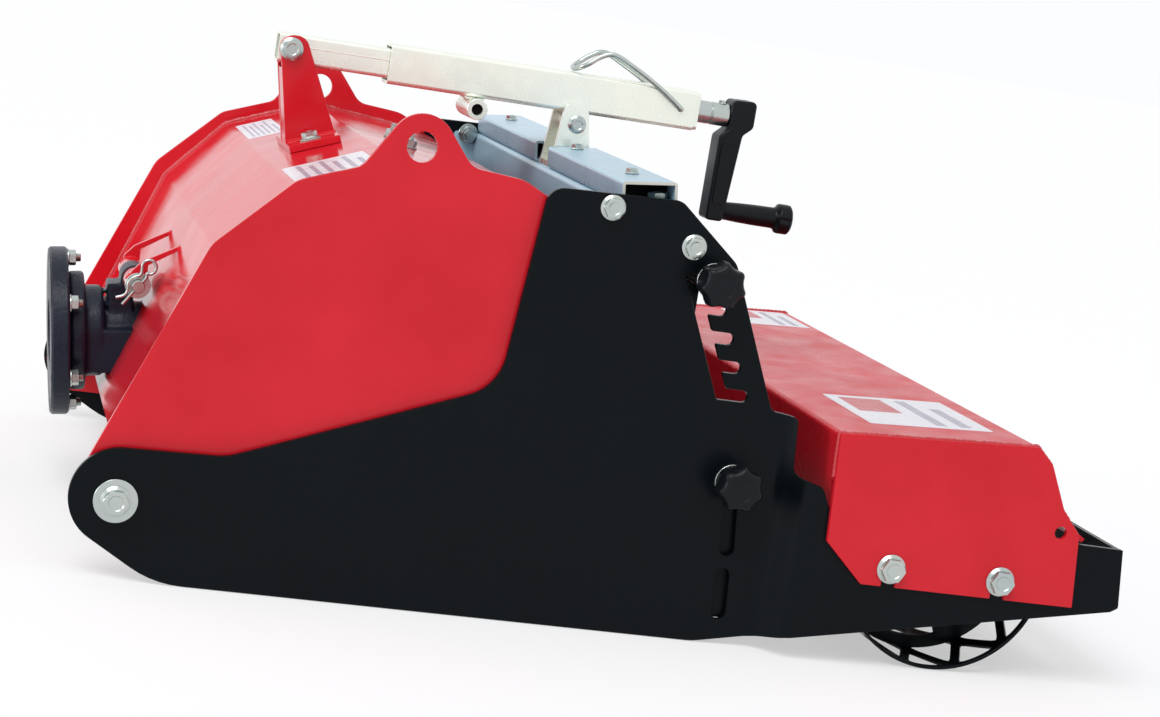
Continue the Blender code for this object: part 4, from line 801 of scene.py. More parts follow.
def make_clevis():
    inner = 0.0205
    outer = inner + 0.005
    front, rear = CLEVIS_X - 0.020, CLEVIS_X + 0.021
    top = CLEVIS_Z + 0.0185
    foot = [
        (front, beam_floor(front, GAP)), (rear, beam_floor(rear, GAP)), (rear, beam_floor(rear, 0.005)),
        (front, beam_floor(front, 0.005)),
    ]
    cheek = [
        (front, beam_floor(front, GAP)), (CLEVIS_X - 0.014, top, 0.006), (CLEVIS_X + 0.009, top, 0.010),
        (CLEVIS_X + 0.016, CLEVIS_Z - 0.021, 0.010), (rear, beam_floor(rear, GAP)),
    ]
    hole = ring(CLEVIS_X, CLEVIS_Z, 0.0043, 28)
    shapes = [plate([foot], -outer, outer, 0.0005)]
    shapes += [plate([round_corners(cheek), hole], side * inner, side * outer) for side in SIDES.values()]
    dressed("jack_clevis", joined(*shapes), BRIGHT_ZINC, "frame")
    pin_bolt("clevis_bolt", CLEVIS_X, CLEVIS_Z, outer, 0.008, "frame")
    place = Vector((CLEVIS_X + 0.014, -0.0120, beam_floor(CLEVIS_X + 0.012, 0.005)))
    hardware("clevis_foot_bolt", bolt_head(place, BEAM_UP, 0.006), "frame")


def pin_bolt(name, x, z, outer, size, body):
    """A bolt through two cheeks, with its head on the left and its nut on the right."""
    head = bolt_head(Vector((x, -outer - GAP, z)), (0, -1, 0), size)
    shank = crossing(x, z, -outer - 0.001, outer + 0.001, size / 2, 24)
    end = nut(Vector((x, outer + GAP, z)), (0, 1, 0), size, 0.003)
    dressed(name, joined(head, shank, end), ZINC, body, MACHINED)


# Rear cover and roller

COVER_FRONT_X, COVER_TOP = 0.601, 0.205


def make_cover():
    corners = [
        (COVER_FRONT_X + 0.006, 0.118), (COVER_FRONT_X, COVER_TOP, 0.005), (0.785, 0.2145, 0.006),
        (0.800, 0.2005, 0.010), (0.8185, 0.1615, 0.014), (0.834, 0.1445, 0.010), (0.848, 0.136),
    ]
    reach = REAR_Y - 0.0002
    shape = plate([strip(round_corners(corners, 12, False), 0.004)], -reach, reach, 0.0005)
    sheet = dressed("rear_cover", shape, COVER_RED, "frame")
    for side in SIDES.values():
        inner, outer = side * (REAR_INNER_Y - GAP), side * (REAR_Y + 0.01)
        for low, high in (((COVER_FRONT_X - 0.02, 0.10), (0.640, 0.162)), ((0.835, 0.10), (0.870, 0.152))):
            cut_box(sheet, (low[0], min(inner, outer), low[1]), (high[0], max(inner, outer), high[1]))
    side_corners = [
        (COVER_FRONT_X, COVER_TOP, 0.003), (0.785, 0.2145, 0.008), (0.800, 0.2005, 0.014),
        (0.8185, 0.1615, 0.020),
        (0.834, 0.1445), (0.837, 0.141, 0.004), (0.843, 0.075, 0.001), *slot_notch(COVER_BOLTS[1][0]),
        *slot_notch(COVER_BOLTS[0][0]),
        (0.643, 0.075, 0.003), (0.606, 0.109, 0.003),
    ]
    outlines = [round_corners(side_corners), ring(0.819, 0.141, 0.0055, 28)]
    for word, side in SIDES.items():
        dressed(f"cover_side_{word}", plate(outlines, side * (REAR_Y + GAP), side * COVER_Y), RED, "frame")
        path = [
            (COVER_FRONT_X + 0.0018, 0.166), (COVER_FRONT_X + 0.0004, COVER_TOP - 0.0006), (0.7845, 0.2142),
            (0.7995, 0.2000), (0.8175, 0.1622), (0.8265, 0.1520),
        ]
        piece(f"cover_weld_{word}", seam(path, side * (REAR_Y + 0.0006), 0.0019), WELD_RED_AND_PAINTED_HIGHLIGHT, "frame", angle=BEAD)


def slot_notch(x):
    """Corners of an open slot in the lower edge of the cover's side plate, rear side first."""
    half = 0.0065
    top = COVER_BOLTS[0][1] + half
    return [
        (x + half, 0.075, 0.001), (x + half, top, half * 0.98), (x - half, top, half * 0.98),
        (x - half, 0.075, 0.001),
    ]


def cut_box(thing, low, high):
    """Cuts a box out of a piece for good."""
    shape = bmesh.new()
    low, high = Vector(low), Vector(high)
    place = Matrix.Translation((low + high) / 2) @ Matrix.Diagonal((*(high - low), 1))
    bmesh.ops.create_cube(shape, size=1, matrix=place)
    cut_with(thing, shape)


def cut_with(thing, shape, operation="DIFFERENCE"):
    """Applies a Boolean with a shape to a piece for good, before its other modifiers."""
    bmesh.ops.recalc_face_normals(shape, faces=shape.faces)
    cutter = add_object("cutter", mesh_of(shape))
    cutter.location.x = PIVOT_X
    modifier = thing.modifiers.new("Cut", "BOOLEAN")
    modifier.operation = operation
    modifier.solver = "EXACT"
    modifier.object = cutter
    others = [m for m in thing.modifiers if m != modifier]
    for other in others:
        other.show_viewport = False
    result = evaluated_mesh(thing, preserve_all_data_layers=True)
    thing.modifiers.remove(modifier)
    thing.data = result
    for other in others:
        other.show_viewport = True
    bpy.data.objects.remove(cutter)
    result.shade_smooth()
    result.set_sharp_from_angle(angle=math.radians(SHEET))


def make_rear_panel():
    reach = REAR_INNER_Y - GAP
    front, rear = REAR_X - 0.0115, REAR_X - 0.0065
    outline = [(front, 0.080), (rear, 0.080), (rear, 0.1305), (front, 0.1305)]
    shapes = [plate([outline], -reach, reach, 0.0008)]
    for side in SIDES.values():
        shapes.append(seam([(front - 0.0005, z) for z in (0.083, 0.129)], side * (reach - 0.0005), 0.002))
    dressed("rear_panel", joined(*shapes), BLACK, "frame")


ROLLER_RADIUS, ROLLER_LENGTH, CELLS_ROUND, CELLS_LONG = 0.095, 0.724, 12, 6


def make_roller():
    """Open cage of diamond cells with round corners, made tile by tile on the drum."""
    shape = bmesh.new()
    half_turn = math.pi / CELLS_ROUND
    half_cell = ROLLER_LENGTH / CELLS_LONG / 2
    rows = 2 * CELLS_LONG

    def on_drum(turn, row):
        angle = turn * half_turn
        y = -ROLLER_LENGTH / 2 + row * half_cell
        x, z = ROLLER_RADIUS * math.cos(angle), ROLLER_RADIUS * math.sin(angle)
        return Vector((ROLLER_X + x, y, ROLLER_Z + z))

    for row in range(rows + 1):
        for turn in range(row % 2, 2 * CELLS_ROUND, 2):
            tips = [(-1, 0), (0, 1), (1, 0), (0, -1)]
            if row == 0:
                tips = tips[:3]
            if row == rows:
                tips = [*tips[2:], tips[0]]
            rim = tile_rim(tips)
            share = 0.80 if 0 < row < rows else 0.72
            centre = sum((Vector(t) for t in tips), Vector((0, 0))) / len(tips)
            hole_corners = [centre + (Vector(t) - centre) * share for t in tips]
            hole = tile_hole(hole_corners, len(rim))
            loops = []
            for points in (rim, [r.lerp(h, 0.5) for r, h in zip(rim, hole)], hole):
                loops.append([shape.verts.new(on_drum(turn + p.x, row + p.y)) for p in points])
            skin(shape, zip(loops, loops[1:]))
    cage = dressed("roller_cage", shape, BLACK, "roller", MOULDED, False)
    wall = cage.modifiers.new("Wall", "SOLIDIFY")
    wall.thickness = 0.003
    wall.offset = -1
    soft = cage.modifiers.new("Soft edges", "BEVEL")
    soft.width = 0.0005
    soft.segments = 2
    soft.limit_method = "ANGLE"
    soft.angle_limit = math.radians(MOULDED)
    for word, side in SIDES.items():
        disc = end_disc_outlines()
        outer_y = side * (ROLLER_LENGTH / 2 - 0.060)
        dressed(f"roller_end_{word}", plate(disc, outer_y - side * 0.005, outer_y), BLACK, "roller")
    shaft = crossing(ROLLER_X, ROLLER_Z, -REAR_Y + 0.001, REAR_Y - 0.001, 0.015, 48, 0.001)
    dressed("roller_shaft", shaft, STEEL, "roller")


def tile_rim(tips):
    points = []
    for k, tip in enumerate(tips):
        first, second = Vector(tip), Vector(tips[(k + 1) % len(tips)])
        points += [first.lerp(second, i / 8) for i in range(8)]
    return points


def tile_hole(corners, count):
    """A hole with round corners, as many points as the tile's rim has."""
    sides = len(corners)
    per_side = count // sides
    points = []
    blunt = 0.16
    for k, corner in enumerate(corners):
        before, after = corners[k - 1], corners[(k + 1) % sides]
        start = corner.lerp(after, blunt)
        stop = after.lerp(corner, blunt)
        points.append(corner.lerp((before + after) / 2, 0.055))
        points += [start.lerp(stop, i / (per_side - 2)) for i in range(per_side - 1)]
    return points


def end_disc_outlines():
    disc_radius = ROLLER_RADIUS - 0.003 - GAP
    outlines = [ring(ROLLER_X, ROLLER_Z, disc_radius, 96), ring(ROLLER_X, ROLLER_Z, SHAFT_HOLE, 40)]
    for k in range(6):
        low, high = 60 * k + 12, 60 * k + 48
        window = [
            *arc(ROLLER_X, ROLLER_Z, disc_radius - 0.012, low, high, 12),
            *arc(ROLLER_X, ROLLER_Z, 0.040, high - 4, low + 4, 6),
        ]
        outlines.append(window)
    return outlines


# Hood


def hood_profile():
    shoulder, rear = HOOD_TOP - 0.0345, HOOD_TOP - 0.0125
    return [
        (-0.003, 0.100), (0.060, 0.276, 0.010), (0.116, shoulder, 0.012), (0.2055, HOOD_TOP, 0.012),
        (0.324, rear),
    ]


def hood_side_outline():
    corners = [
        *arc(0, PIVOT_Z, 0.036, 160, 262, 20),
        (0.300, 0.034, 0.080),
        (0.368, 0.120, 0.060),
        (0.356, 0.330, 0.030),
        (0.324, HOOD_TOP - 0.0075, 0.012),
        (0.300, HOOD_TOP + 0.004, 0.030),
        (0.2545, HOOD_TOP + 0.008, 0.018),
        *arc(LUG.x, LUG.y, 0.0278, 38, 148, 18),
        (0.1628, HOOD_TOP - 0.004, 0.014),
        (0.111, HOOD_TOP - 0.0235, 0.020),
        (0.049, 0.288, 0.030),
    ]
    return round_corners(corners)


def make_hood():
    reach = HOOD_INNER_Y - GAP
    outline = strip(round_corners(hood_profile(), 10, False), 0.005)
    shell = dressed("hood_shell", plate([outline], -reach, reach, 0.0005), RED, "hood")
    for shape in neck_shapes(0.0006):
        cut_with(shell, shape)
    holes = [ring(LUG.x, LUG.y, 0.013, 56), ring(0, PIVOT_Z, M12_HOLE, 32)]
    for word, side in SIDES.items():
        shape = plate([hood_side_outline(), *holes], side * HOOD_INNER_Y, side * HOOD_Y, 0.0007)
        dressed(f"hood_side_{word}", shape, RED, "hood")
        bead = seam(round_corners(hood_profile(), 20, False), side * (HOOD_INNER_Y - 0.0006), 0.0024)
        piece(f"hood_weld_{word}", bead, WELD_RED_AND_PAINTED_HIGHLIGHT, "hood", angle=BEAD)
        x = 0.248
        up = Vector((0.0125, 0, 0.1185)).normalized()
        place = Vector((x, side * 0.050, HOOD_TOP - (x - 0.2055) * 0.1055))
        hardware(f"hood_top_bolt_{word}", nut(place + up * 0.0001, up, 0.008, 0.006), "hood")


def make_ears():
    foot, crease = Vector(hood_profile()[0][:2]), Vector(hood_profile()[1][:2])
    slope = math.atan2(crease.x - foot.x, crease.y - foot.y)

    def panel_x(z):
        return foot.x + (z - foot.y) * math.tan(slope) - GAP / math.cos(slope)

    corners = [
        (panel_x(0.2490), 0.2490), (0.0177, 0.2300, 0.006), (0.0090, 0.2195, 0.006),
        *arc(PIN.x, PIN.z, 0.0095, 155, 35, 8),
        (0.0235, 0.2272), (panel_x(0.2435), 0.2435),
    ]
    long = EAR_OUTER_Y - 0.0006 - 0.0205
    sleeve = [
        (PIN_HOLE, 0), (0.0109, 0), (0.0115, 0.0006), (0.0115, long - 0.0006), (0.0109, long),
        (PIN_HOLE, long),
    ]
    for word, side in SIDES.items():
        shapes = [plate([round_corners(corners)], side * EAR_INNER_Y, side * EAR_OUTER_Y)]
        shapes.append(spun(sleeve, (PIN.x, side * 0.0205, PIN.z), (0, side, 0), 48, True))
        for y in (side * (EAR_INNER_Y - 0.0005), side * (EAR_OUTER_Y + 0.0005)):
            shapes.append(seam([(panel_x(z) + 0.0005, z) for z in (0.2440, 0.2485)], y, 0.0014))
        shapes.append(seam(arc(PIN.x, PIN.z, 0.0112, 160, 50, 8), side * (EAR_INNER_Y - 0.0006), 0.0014))
        dressed(f"hood_ear_{word}", joined(*shapes), RED, "hood")
    pin = spun(
        [
            (0, 0.005), (0.0082, 0.005), (0.009, 0.0042), (0.009, 0.0004), (0.0086, 0), (0.006, 0),
            (0.006, -0.131), (0.0053, -0.132), (0, -0.132),
        ],
        (PIN.x, EAR_OUTER_Y + GAP, PIN.z), (0, 1, 0), 40,
    )
    ring_profile = washer_profile(0.0062, 0.0118, 0.0022)
    washer = spun(ring_profile, (PIN.x, -EAR_OUTER_Y - GAP, PIN.z), (0, -1, 0), 48, True)
    dressed("clevis_pin", joined(pin, washer), ZINC, "hood", MACHINED)
    centre = Vector((PIN.x, -EAR_OUTER_Y - 0.0065, PIN.z))
    run = Vector((0.55, 0, 0.835)).normalized()
    side = Vector((-run.z, 0, run.x))

    def place(u, v, out=0.0):
        return centre + run * u + side * v + Vector((0, -out, 0))

    points = [place(-0.022, 0), place(-0.010, 0), place(0.003, 0), place(0.012, 0)]
    for k in range(11):
        angle = math.radians(-70 + 300 * k / 10)
        points.append(place(0.020 + 0.0065 * math.sin(angle), 0.0040 - 0.0065 * math.cos(angle)))
    bow = 0.006 + 0.0023
    points += [place(0.0095, 0.0055), place(0.0045, bow), place(0, bow + 0.001), place(-0.0045, bow)]
    points += [place(-0.010, 0.0045), place(-0.014, 0.0042), place(-0.021, 0.0085)]
    wire("r_clip", points, 0.0015, ZINC, "hood")


# Drive


def on_drive(distance, lift=0.0, y=0.0):
    return FLANGE_CENTRE + DRIVE_AXIS * distance + DRIVE_UP * lift + Vector((0, y, 0))


def drive_block(distances, lifts, half_width, extra):
    (near, far), (low, high) = distances, lifts
    corners = [
        on_drive(near - extra, low - extra), on_drive(far + extra, low - extra),
        on_drive(far + extra, high + extra), on_drive(near - extra, high + extra),
    ]
    return plate([[(c.x, c.z) for c in corners]], -half_width - extra, half_width + extra, 0.0001)


def neck_shapes(extra=0.0):
    """The casting between flange and gear drum: neck, belly, upright lug and its eye."""
    return [
        cylinder(on_drive(0.030 - extra), on_drive(0.190), 0.027 + extra),
        drive_block((0.031, 0.190), (-0.0345, 0.006), 0.042, extra),
        drive_block((0.0535, 0.0775), (-0.010, 0.047), 0.0195, extra),
        crossing(PIN.x, PIN.z, -0.0195 - extra, 0.0195 + extra, 0.013 + extra),
    ]


def make_gearbox():
    """The casting: its solids joined, then remeshed so that every inner corner gets a fillet."""
    drum = crossing(ROTOR_X, ROTOR_Z, -0.050, 0.050, 0.085, 64, 0.004)
    casing = dressed("gearbox_casing", drum, CAST, "hood", MOULDED, False)
    hubs = [
        cylinder(on_drive(0.0176), on_drive(0.0325), 0.056, 56, 0.002),
        cylinder(on_drive(0.030), on_drive(0.050), 0.043, 56, 0.003),
    ]
    for shape in [*hubs, *neck_shapes()]:
        cut_with(casing, shape, "UNION")
    remesh = casing.modifiers.new("Casting", "REMESH")
    remesh.mode = "VOXEL"
    remesh.voxel_size = 0.0016
    soften = casing.modifiers.new("Fillets", "SMOOTH")
    soften.factor = 0.5
    soften.iterations = 6
    mesh = evaluated_mesh(casing)
    casing.modifiers.clear()
    casing.data = mesh
    mesh.shade_smooth()
    bores = [
        cylinder(on_drive(0.010), on_drive(0.170), 0.0123, 32),
        crossing(PIN.x, PIN.z, -0.03, 0.03, 0.0062, 24),
        crossing(ROTOR_X, ROTOR_Z, -0.06, 0.06, 0.0183, 40),
    ]
    for shape in bores:
        cut_with(casing, shape)
    outer = [(0.030, 0), (0.077, 0), (0.079, 0.002), (0.079, 0.015), (0.0775, 0.017), (0.030, 0.017)]
    flange = dressed("pto_flange", spun(outer, on_drive(0), DRIVE_AXIS, 96, True), CAST, "hood", MACHINED)
    ends = []
    for k in range(6):
        angle = math.radians(90 + 60 * k)
        y, lift = 0.069 * math.cos(angle), 0.069 * math.sin(angle)
        cut_with(flange, cylinder(on_drive(-0.01, lift, y), on_drive(0.03, lift, y), 0.0045, 24))
        ends.append(nut(on_drive(0.0172, lift, y), DRIVE_AXIS, 0.008, 0.0045))
        ends.append(cylinder(on_drive(0.004, lift, y), on_drive(0.018, lift, y), 0.004, 24))
    hardware("flange_nuts", joined(*ends), "hood")


# Jack


def make_tower():
    profile = hood_profile()
    front, rear = Vector(profile[2][:2]), Vector(profile[3][:2])
    run = (rear - front).normalized()
    normal = Vector((-run.y, run.x))
    base = front + run * 0.049
    low, high = base + normal * GAP, base + normal * (GAP + 0.007)
    foot = [low - run * 0.0245, low + run * 0.0245, high + run * 0.0245, high - run * 0.0245]
    shapes = [plate([foot], -0.055, 0.055, 0.0008)]
    inner = 0.015
    outer = inner + 0.005
    front_foot = high - run * 0.0240 - normal * 0.002
    rear_foot = high + run * 0.0240 - normal * 0.002
    top = JACK_Z + 0.013
    cheek = [front_foot, (TOWER_X - 0.0125, top, 0.012), (TOWER_X + 0.0125, top, 0.012), rear_foot]
    outlines = [round_corners(cheek), ring(TOWER_X, JACK_Z, M10_HOLE, 28)]
    foot_line = [(p.x, p.y + 0.0022) for p in (front_foot, rear_foot)]
    for side in SIDES.values():
        shapes.append(plate(outlines, side * inner, side * outer))
        shapes.append(seam(foot_line, side * (outer + 0.0004), 0.0016))
    web_top = Vector((TOWER_X - 0.0062, JACK_Z - 0.019))
    thick = Vector((0.004, 0))
    web = [front_foot + thick * 0.1, front_foot + thick, web_top + thick, web_top + thick * 0.1]
    shapes.append(plate([web], -inner - 0.001, inner + 0.001, 0.0004))
    dressed("jack_tower", joined(*shapes), RED, "hood")
    pin_bolt("tower_bolt", TOWER_X, JACK_Z, outer, 0.010, "hood")
    place = high - run * 0.002
    up = Vector((normal.x, 0, normal.y))
    for word, side in SIDES.items():
        spot = Vector((place.x, side * 0.040, place.y))
        hardware(f"tower_foot_bolt_{word}", bolt_head(spot, up, 0.008, (0.0100, 0.0014)), "hood")


def make_jack():
    inner = square_tube(0.028, 0.028, 0.0025, 0.0035, (TOWER_X - 0.0115, 0, JACK_Z), (0.400, 0, JACK_Z))
    tube = dressed("jack_inner_tube", inner, BRIGHT_ZINC, "jack_base")
    cut_with(tube, crossing(TOWER_X, JACK_Z, -0.03, 0.03, M10_HOLE, 28))
    ends = [(x, -0.0138, JACK_Z + 0.003) for x in (TOWER_X + 0.010, 0.398)]
    piece("jack_inner_tube_seam", weld(ends, 0.0006, 0.004), BRIGHT_ZINC, "jack_base", angle=BEAD)
    front, rear = (JACK_FRONT_X, 0, JACK_Z), (JACK_REAR_X - 0.004, 0, JACK_Z)
    outer = square_tube(0.038, 0.038, 0.003, 0.004, front, rear)
    end = square_ring_cap(0.038, 0.004, JACK_REAR_X - 0.0052, JACK_REAR_X)
    tube = dressed("jack_outer_tube", joined(outer, end), BRIGHT_ZINC, "jack_slider")
    for side in SIDES.values():
        cut_with(tube, crossing(BAIL_X, JACK_Z, side * 0.012, side * 0.03, 0.0029, 24))
    height = JACK_Z - 0.019
    for name, x, half, bore in (("front", 0.3115, 0.031, 0.0055), ("rear", CLEVIS_X, 0.0195, 0.0072)):
        profile = [
            (bore, -half), (0.0095, -half), (0.0100, 0.0005 - half), (0.0100, half - 0.0005), (0.0095, half),
            (bore, half),
        ]
        tube = spun(profile, (x, 0, CLEVIS_Z), (0, 1, 0), 48, True)
        low, high = CLEVIS_Z + 0.008, height - GAP
        tab = [(x - 0.009, low), (x + 0.007, low), (x + 0.007, high), (x - 0.009, high)]
        tab = plate([tab], -0.015, 0.015, 0.0004)
        beads = [
            weld([(x + dx, -0.014, height - 0.001), (x + dx, 0.014, height - 0.001)], 0.0013)
            for dx in (-0.0092, 0.0072)
        ]
        dressed(f"jack_eye_{name}", joined(tube, tab, *beads), BRIGHT_ZINC, "jack_slider", 30)
        if name == "front":
            # A near-black core in the front eye's bore is painted shade inside the bore.
            inside = crossing(x, CLEVIS_Z, -0.026, 0.026, bore - GAP, 28)
            piece("jack_eye_front_inside", inside, PAINTED_SHADE, "jack_slider")


def square_ring_cap(width, corner, x_front, x_rear):
    """End plate of the outer tube, with the bore of the screw."""
    rim = tube_outline(width - 0.002, width - 0.002, 0.01, corner)[0]
    shape = flat([rim, ring(0, 0, 0.0073, 28)], x_rear - x_front, 0.0006)
    return moved(shape, ((x_front + x_rear) / 2, 0, JACK_Z), axes((0, 1, 0), (0, 0, 1), (1, 0, 0)))


def make_crank():
    hub, hub_length, radius = 0.565, 0.0245, 0.093
    screw_end = hub + hub_length - 0.003
    screw = spun(thread_profile(0.007, 0.262, screw_end, 0.003), (0, 0, JACK_Z), (1, 0, 0), 32)
    dressed("jack_screw", screw, STEEL, "crank")
    long_collar = hub - JACK_REAR_X - 2 * GAP
    collar = [
        (0.0073, long_collar), (0.0105, long_collar), (0.0112, long_collar - 0.0008), (0.0112, 0.0165),
        (0.0104, 0.0158),
        (0.0104, 0.0150), (0.0110, 0.0143), (0.0110, 0.0008), (0.0104, 0.0), (0.0073, 0.0),
    ]
    shapes = [spun(collar, (JACK_REAR_X + GAP, 0, JACK_Z), (1, 0, 0), 48, True)]
    shapes.append(bolt_head(Vector((hub - 0.0068, 0, JACK_Z + 0.0106)), (0, 0, 1), 0.0042))
    dressed("screw_collar", joined(*shapes), ZINC, "crank", MACHINED)
    low = JACK_Z - radius
    arm = [
        (hub, JACK_Z + 0.0165, 0.004), (hub + hub_length, JACK_Z + 0.0175, 0.005),
        (hub + hub_length, JACK_Z - 0.0085, 0.007),
        (hub + 0.0150, JACK_Z - 0.0170, 0.006), (hub + 0.0088, low - 0.010, 0.004),
        (hub - 0.0085, low - 0.010, 0.004),
        (hub - 0.0085, JACK_Z - 0.020, 0.006), (hub, JACK_Z - 0.012, 0.004),
    ]
    shapes = [plate([round_corners(arm)], -0.015, 0.015, 0.0022, 3)]
    shapes.append(cylinder((hub + 0.004, 0, low), (0.645, 0, low), 0.005, 24))
    crank = dressed("crank_arm", joined(*shapes), PLASTIC, "crank", MOULDED)
    channel = [
        (hub - 0.0050, JACK_Z - 0.027, 0.002), (hub + 0.0108, JACK_Z - 0.027, 0.002),
        (hub + 0.0062, low + 0.007, 0.002),
        (hub - 0.0050, low + 0.007, 0.002),
    ]
    for side in SIDES.values():
        cut_with(crank, plate([round_corners(channel)], side * 0.0132, side * 0.0170, 0.0002))
    start, end = hub + 0.0108, 0.646
    long = end - start

    def slotted(angle):
        return 0.0150 - 0.0016 * max(0.0, math.cos(4 * angle)) ** 6

    grip = [
        (0.0054, long - 0.001), (0.0080, long), (0.0125, long), (0.0144, long - 0.0015),
        (slotted, long - 0.003),
        (slotted, long - 0.012), (0.0142, long - 0.0135), (0.0112, long - 0.0155), (0.0104, long - 0.018),
        (0.0102, long * 0.45), (0.0096, long * 0.22), (0.0088, 0.002), (0.0082, 0.0), (0.0054, 0.0),
    ]
    dressed("crank_grip", spun(grip, (start, 0, low), (1, 0, 0), 96, True), PLASTIC, "grip", MOULDED)


def make_bail():
    radius = 0.0025
    side_y = 0.019 + radius + 0.0005
    start_y = 0.016
    peak = [
        (0.484, 0.0190), (0.455, 0.0345), (0.443, 0.0400), (0.4355, 0.0414), (0.427, 0.0385), (0.412, 0.0275)
    ]
    half = [
        (BAIL_X, start_y, JACK_Z), (BAIL_X, side_y - 0.0008, JACK_Z),
        (BAIL_X - 0.0028, side_y, JACK_Z + 0.0021),
    ]
    half += [(px, side_y - 0.0008 * i, JACK_Z + rise) for i, (px, rise) in enumerate(peak)]
    half += [(0.4070, 0.0125, JACK_Z + 0.0240), (0.4052, 0.006, JACK_Z + 0.0228)]
    path = [Vector((px, -y, z)) for px, y, z in half] + [Vector(p) for p in reversed(half)]
    wire("jack_bail", path, radius, ZINC, "bail")


# Adjusters


def make_knob(name, x, z, side, body):
    """Star knob with seven lobes, a flat hub towards the plate and a shallow dish in its cap."""
    lobes, radius, depth = 7, 0.0188, 0.037
    base = FRAME_Y + GAP

    def lobed(share, waviness):
        def reach(angle):
            turn = lobes * (angle - math.pi / 2)
            return radius * share * (1 + 0.085 * waviness * (math.cos(turn) + 0.18 * math.cos(2 * turn)))

        return reach

    profile = [
        (0.0046, 0.0032), (0.0105, 0.0032), (0.0110, 0.0038), (0.0112, 0.0110), (lobed(0.84, 0.9), 0.0122),
        (lobed(0.95, 1.0), 0.0142),
        (lobed(1.0, 1.0), 0.0175), (lobed(1.0, 1.0), depth - 0.0075), (lobed(0.965, 0.95), depth - 0.0038),
        (lobed(0.88, 0.75), depth - 0.0012), (lobed(0.72, 0.45), depth), (lobed(0.52, 0.0), depth - 0.0002),
        (lobed(0.49, 0.0), depth - 0.0009), (0, depth - 0.0009),
    ]
    shape = spun(profile, (x, side * base, z), (0, side, 0), 112)
    dressed(name, shape, PLASTIC, body, MOULDED)
    washer = spun(washer_profile(0.0046, 0.0158, 0.003), (x, side * base, z), (0, side, 0), 56, True)
    hardware(name.replace("knob", "washer"), washer, body)


def make_adjusters():
    for word, side in SIDES.items():
        make_knob(f"grid_knob_{word}", GRID_X, GRID_Z, side, f"grid_knob_{word}")
        make_knob(f"blade_knob_{word}", BLADE_X, BLADE_Z, side, f"blade_knob_{word}")
    reach = FRAME_INNER_Y - GAP
    bar = crossing(GRID_X, GRID_Z, -reach, reach, 0.010, 48, 0.0008)
    dressed("grid_bar", bar, BLACK, "grid_carrier")


# Stickers without any text, in generic blocks


def sticker(name, corners, body, marks):
    """A bare sticker on a flat panel, from three corners. Marks are (u0, v0, u1, v1, finish)."""
    origin, along_end, up_end = (Vector(c) for c in corners)
    u_run, v_run = along_end - origin, up_end - origin
    along_u = u_run.normalized()
    normal = along_u.cross(v_run.normalized()).normalized()
    turn = axes(along_u, normal.cross(along_u), normal)
    sheets = [(0, 0, 1, 1, STICKER, 0.0), *[(*mark, 0.00008) for mark in marks]]
    for k, (u0, v0, u1, v1, finish, lift) in enumerate(sheets):
        wide, tall = u_run.length, v_run.length
        radius = 0.0025 if k == 0 else 0.0004
        corners = [(u * wide, v * tall, radius) for u, v in ((u0, v0), (u1, v0), (u1, v1), (u0, v1))]
        shape = flat([round_corners(corners, 15)], 0.0002, 0.00004)
        piece(f"{name}_{k + 1}", moved(shape, origin + normal * (0.00012 + lift), turn), finish, body)


def make_stickers():
    """Plain stickers, on the hood's top front panel and on the cover."""
    front, crest = Vector(hood_profile()[2][:2]), Vector(hood_profile()[3][:2])
    run = (crest - front).normalized()

    def on_panel(x, y):
        return Vector((x, y, front.y + (x - front.x) * run.y / run.x))

    def on_cover(x, y):
        return Vector((x, y, COVER_TOP + (x - COVER_FRONT_X) * 0.0095 / 0.184))

    ends = (0.62, 0.92, 0.74, 0.92, 0.80, 0.92)
    bars = [(0.08, 0.09 + 0.14 * k, end, 0.15 + 0.14 * k, STICKER_GREY) for k, end in enumerate(ends)]
    blocks = [
        (0.45, 0.55, 0.92, 0.90, STICKER_RED), (0.08, 0.34, 0.92, 0.43, STICKER_GREY),
        (0.08, 0.14, 0.70, 0.23, STICKER_GREY),
    ]
    for name, place, x, far_x, y, far_y, body, marks in (
        ("hood_sticker_left", on_panel, 0.190, 0.1205, -0.256, -0.152, "hood", bars),
        ("hood_sticker_right", on_panel, 0.156, 0.1205, 0.135, 0.278, "hood", bars),
        ("cover_sticker_left", on_cover, 0.765, 0.648, -0.325, -0.183, "frame", blocks),
        ("cover_sticker_right", on_cover, 0.777, 0.703, 0.262, 0.370, "frame", blocks),
    ):
        sticker(name, (place(x, y), place(x, far_y), place(far_x, y)), body, marks)


# Camera, light and floor


def add_camera():
    """The photograph's viewpoint, found from the plate's outlines."""
    right = Vector((0.96241, -0.21794, 0.16205)).normalized()
    forward = Vector((0.24067, 0.96089, -0.13702)).normalized()
    up = right.cross(forward).normalized()
    right = forward.cross(up)
    data = bpy.data.cameras.new("photo_view")
    data.sensor_width = 36
    data.lens = 84.18
    data.clip_end = 100
    camera = add_object("photo_view", data)
    camera.matrix_world = Matrix.Translation((-0.59692, -2.56667, 0.55080)) @ axes(right, up, -forward)
    bpy.context.scene.camera = camera


def seen_directly(tree):
    """1 for rays from the camera, in a mirror or through glass, else 0."""
    path = tree.nodes.new("ShaderNodeLightPath")
    last = path.outputs["Is Camera Ray"]
    for key in ("Is Glossy Ray", "Is Transmission Ray"):
        last = calculated(tree, "MAXIMUM", last, path.outputs[key])
    return last


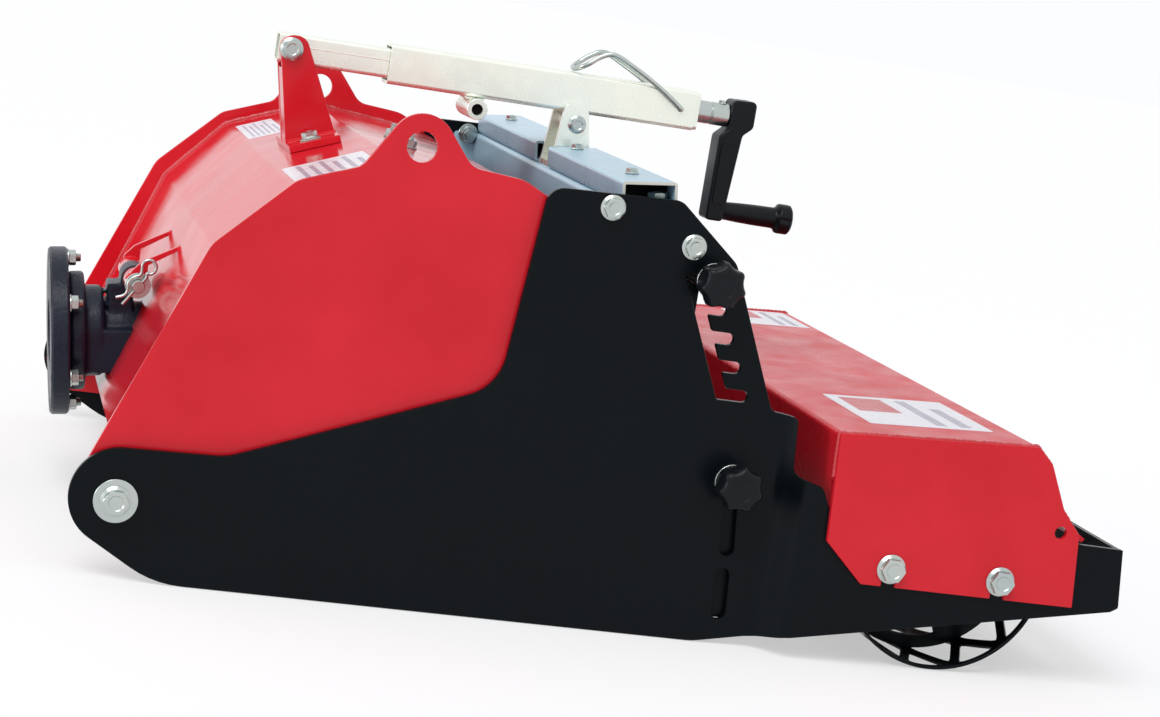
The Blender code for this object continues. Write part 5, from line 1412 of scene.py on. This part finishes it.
def add_studio():
    world = bpy.data.worlds.new("studio")
    bpy.context.scene.world = world
    world.use_nodes = True
    tree = world.node_tree
    background = tree.nodes["Background"]
    background.inputs["Color"].default_value = (0.97, 0.98, 1.0, 1)
    strength = ranged(tree, seen_directly(tree), 0.62, 1.0, 0.0, 1.0)
    tree.links.new(strength, background.inputs["Strength"])
    sun = bpy.data.lights.new("soft_sun", "SUN")
    sun.energy = 1.5
    sun.angle = math.radians(35)
    lamp = add_object("soft_sun", sun)
    lamp.matrix_world = along((-0.40, -0.62, 0.95))
    panel = bpy.data.lights.new("front_softbox", "AREA")
    panel.shape = "RECTANGLE"
    panel.size, panel.size_y = 1.6, 1.2
    panel.energy = 30
    lamp = add_object("front_softbox", panel)
    place = Vector((-3.6, -0.7, 0.7))
    lamp.matrix_world = Matrix.Translation(place) @ along(place)
    lamp.visible_camera = False
    material, tree, shader = new_finish("pale_floor")
    tree.nodes.remove(shader)
    output = tree.nodes["Material Output"]
    cloth = add_node(tree, "ShaderNodeBsdfDiffuse", Color=(0.86, 0.86, 0.87, 1))
    shadowed = add_node(tree, "ShaderNodeBsdfDiffuse", Color=(0.50, 0.50, 0.51, 1))
    glow = add_node(tree, "ShaderNodeEmission", Color=(0.50, 0.50, 0.50, 1), Strength=1.0)
    both = tree.nodes.new("ShaderNodeAddShader")
    choice = add_node(tree, "ShaderNodeMixShader", Fac=seen_directly(tree))
    for source, socket in (
        (shadowed, both.inputs[0]), (glow, both.inputs[1]), (cloth, choice.inputs[1]),
        (both, choice.inputs[2]), (choice, output.inputs["Surface"]),
    ):
        tree.links.new(source.outputs[0], socket)
    shape = bmesh.new()
    bmesh.ops.create_grid(shape, x_segments=2, y_segments=2, size=40)
    floor = add_object("floor", mesh_of(shape, "floor"))
    floor.data.materials.append(material)
    floor.location.z = -0.0005
    bpy.context.scene.view_settings.view_transform = "Standard"


add_camera()
add_studio()
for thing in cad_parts.values():
    for slot in thing.material_slots:
        if slot.material and slot.material.name.split(".")[0] in LOOK_OF:
            slot.material = LOOK_OF[slot.material.name.split(".")[0]]
make_frame_plates()
make_frame_bolts()
make_beam()
make_clevis()
make_cover()
make_rear_panel()
make_roller()
make_hood()
make_ears()
make_gearbox()
make_tower()
make_jack()
make_crank()
make_bail()
make_adjusters()
make_stickers()
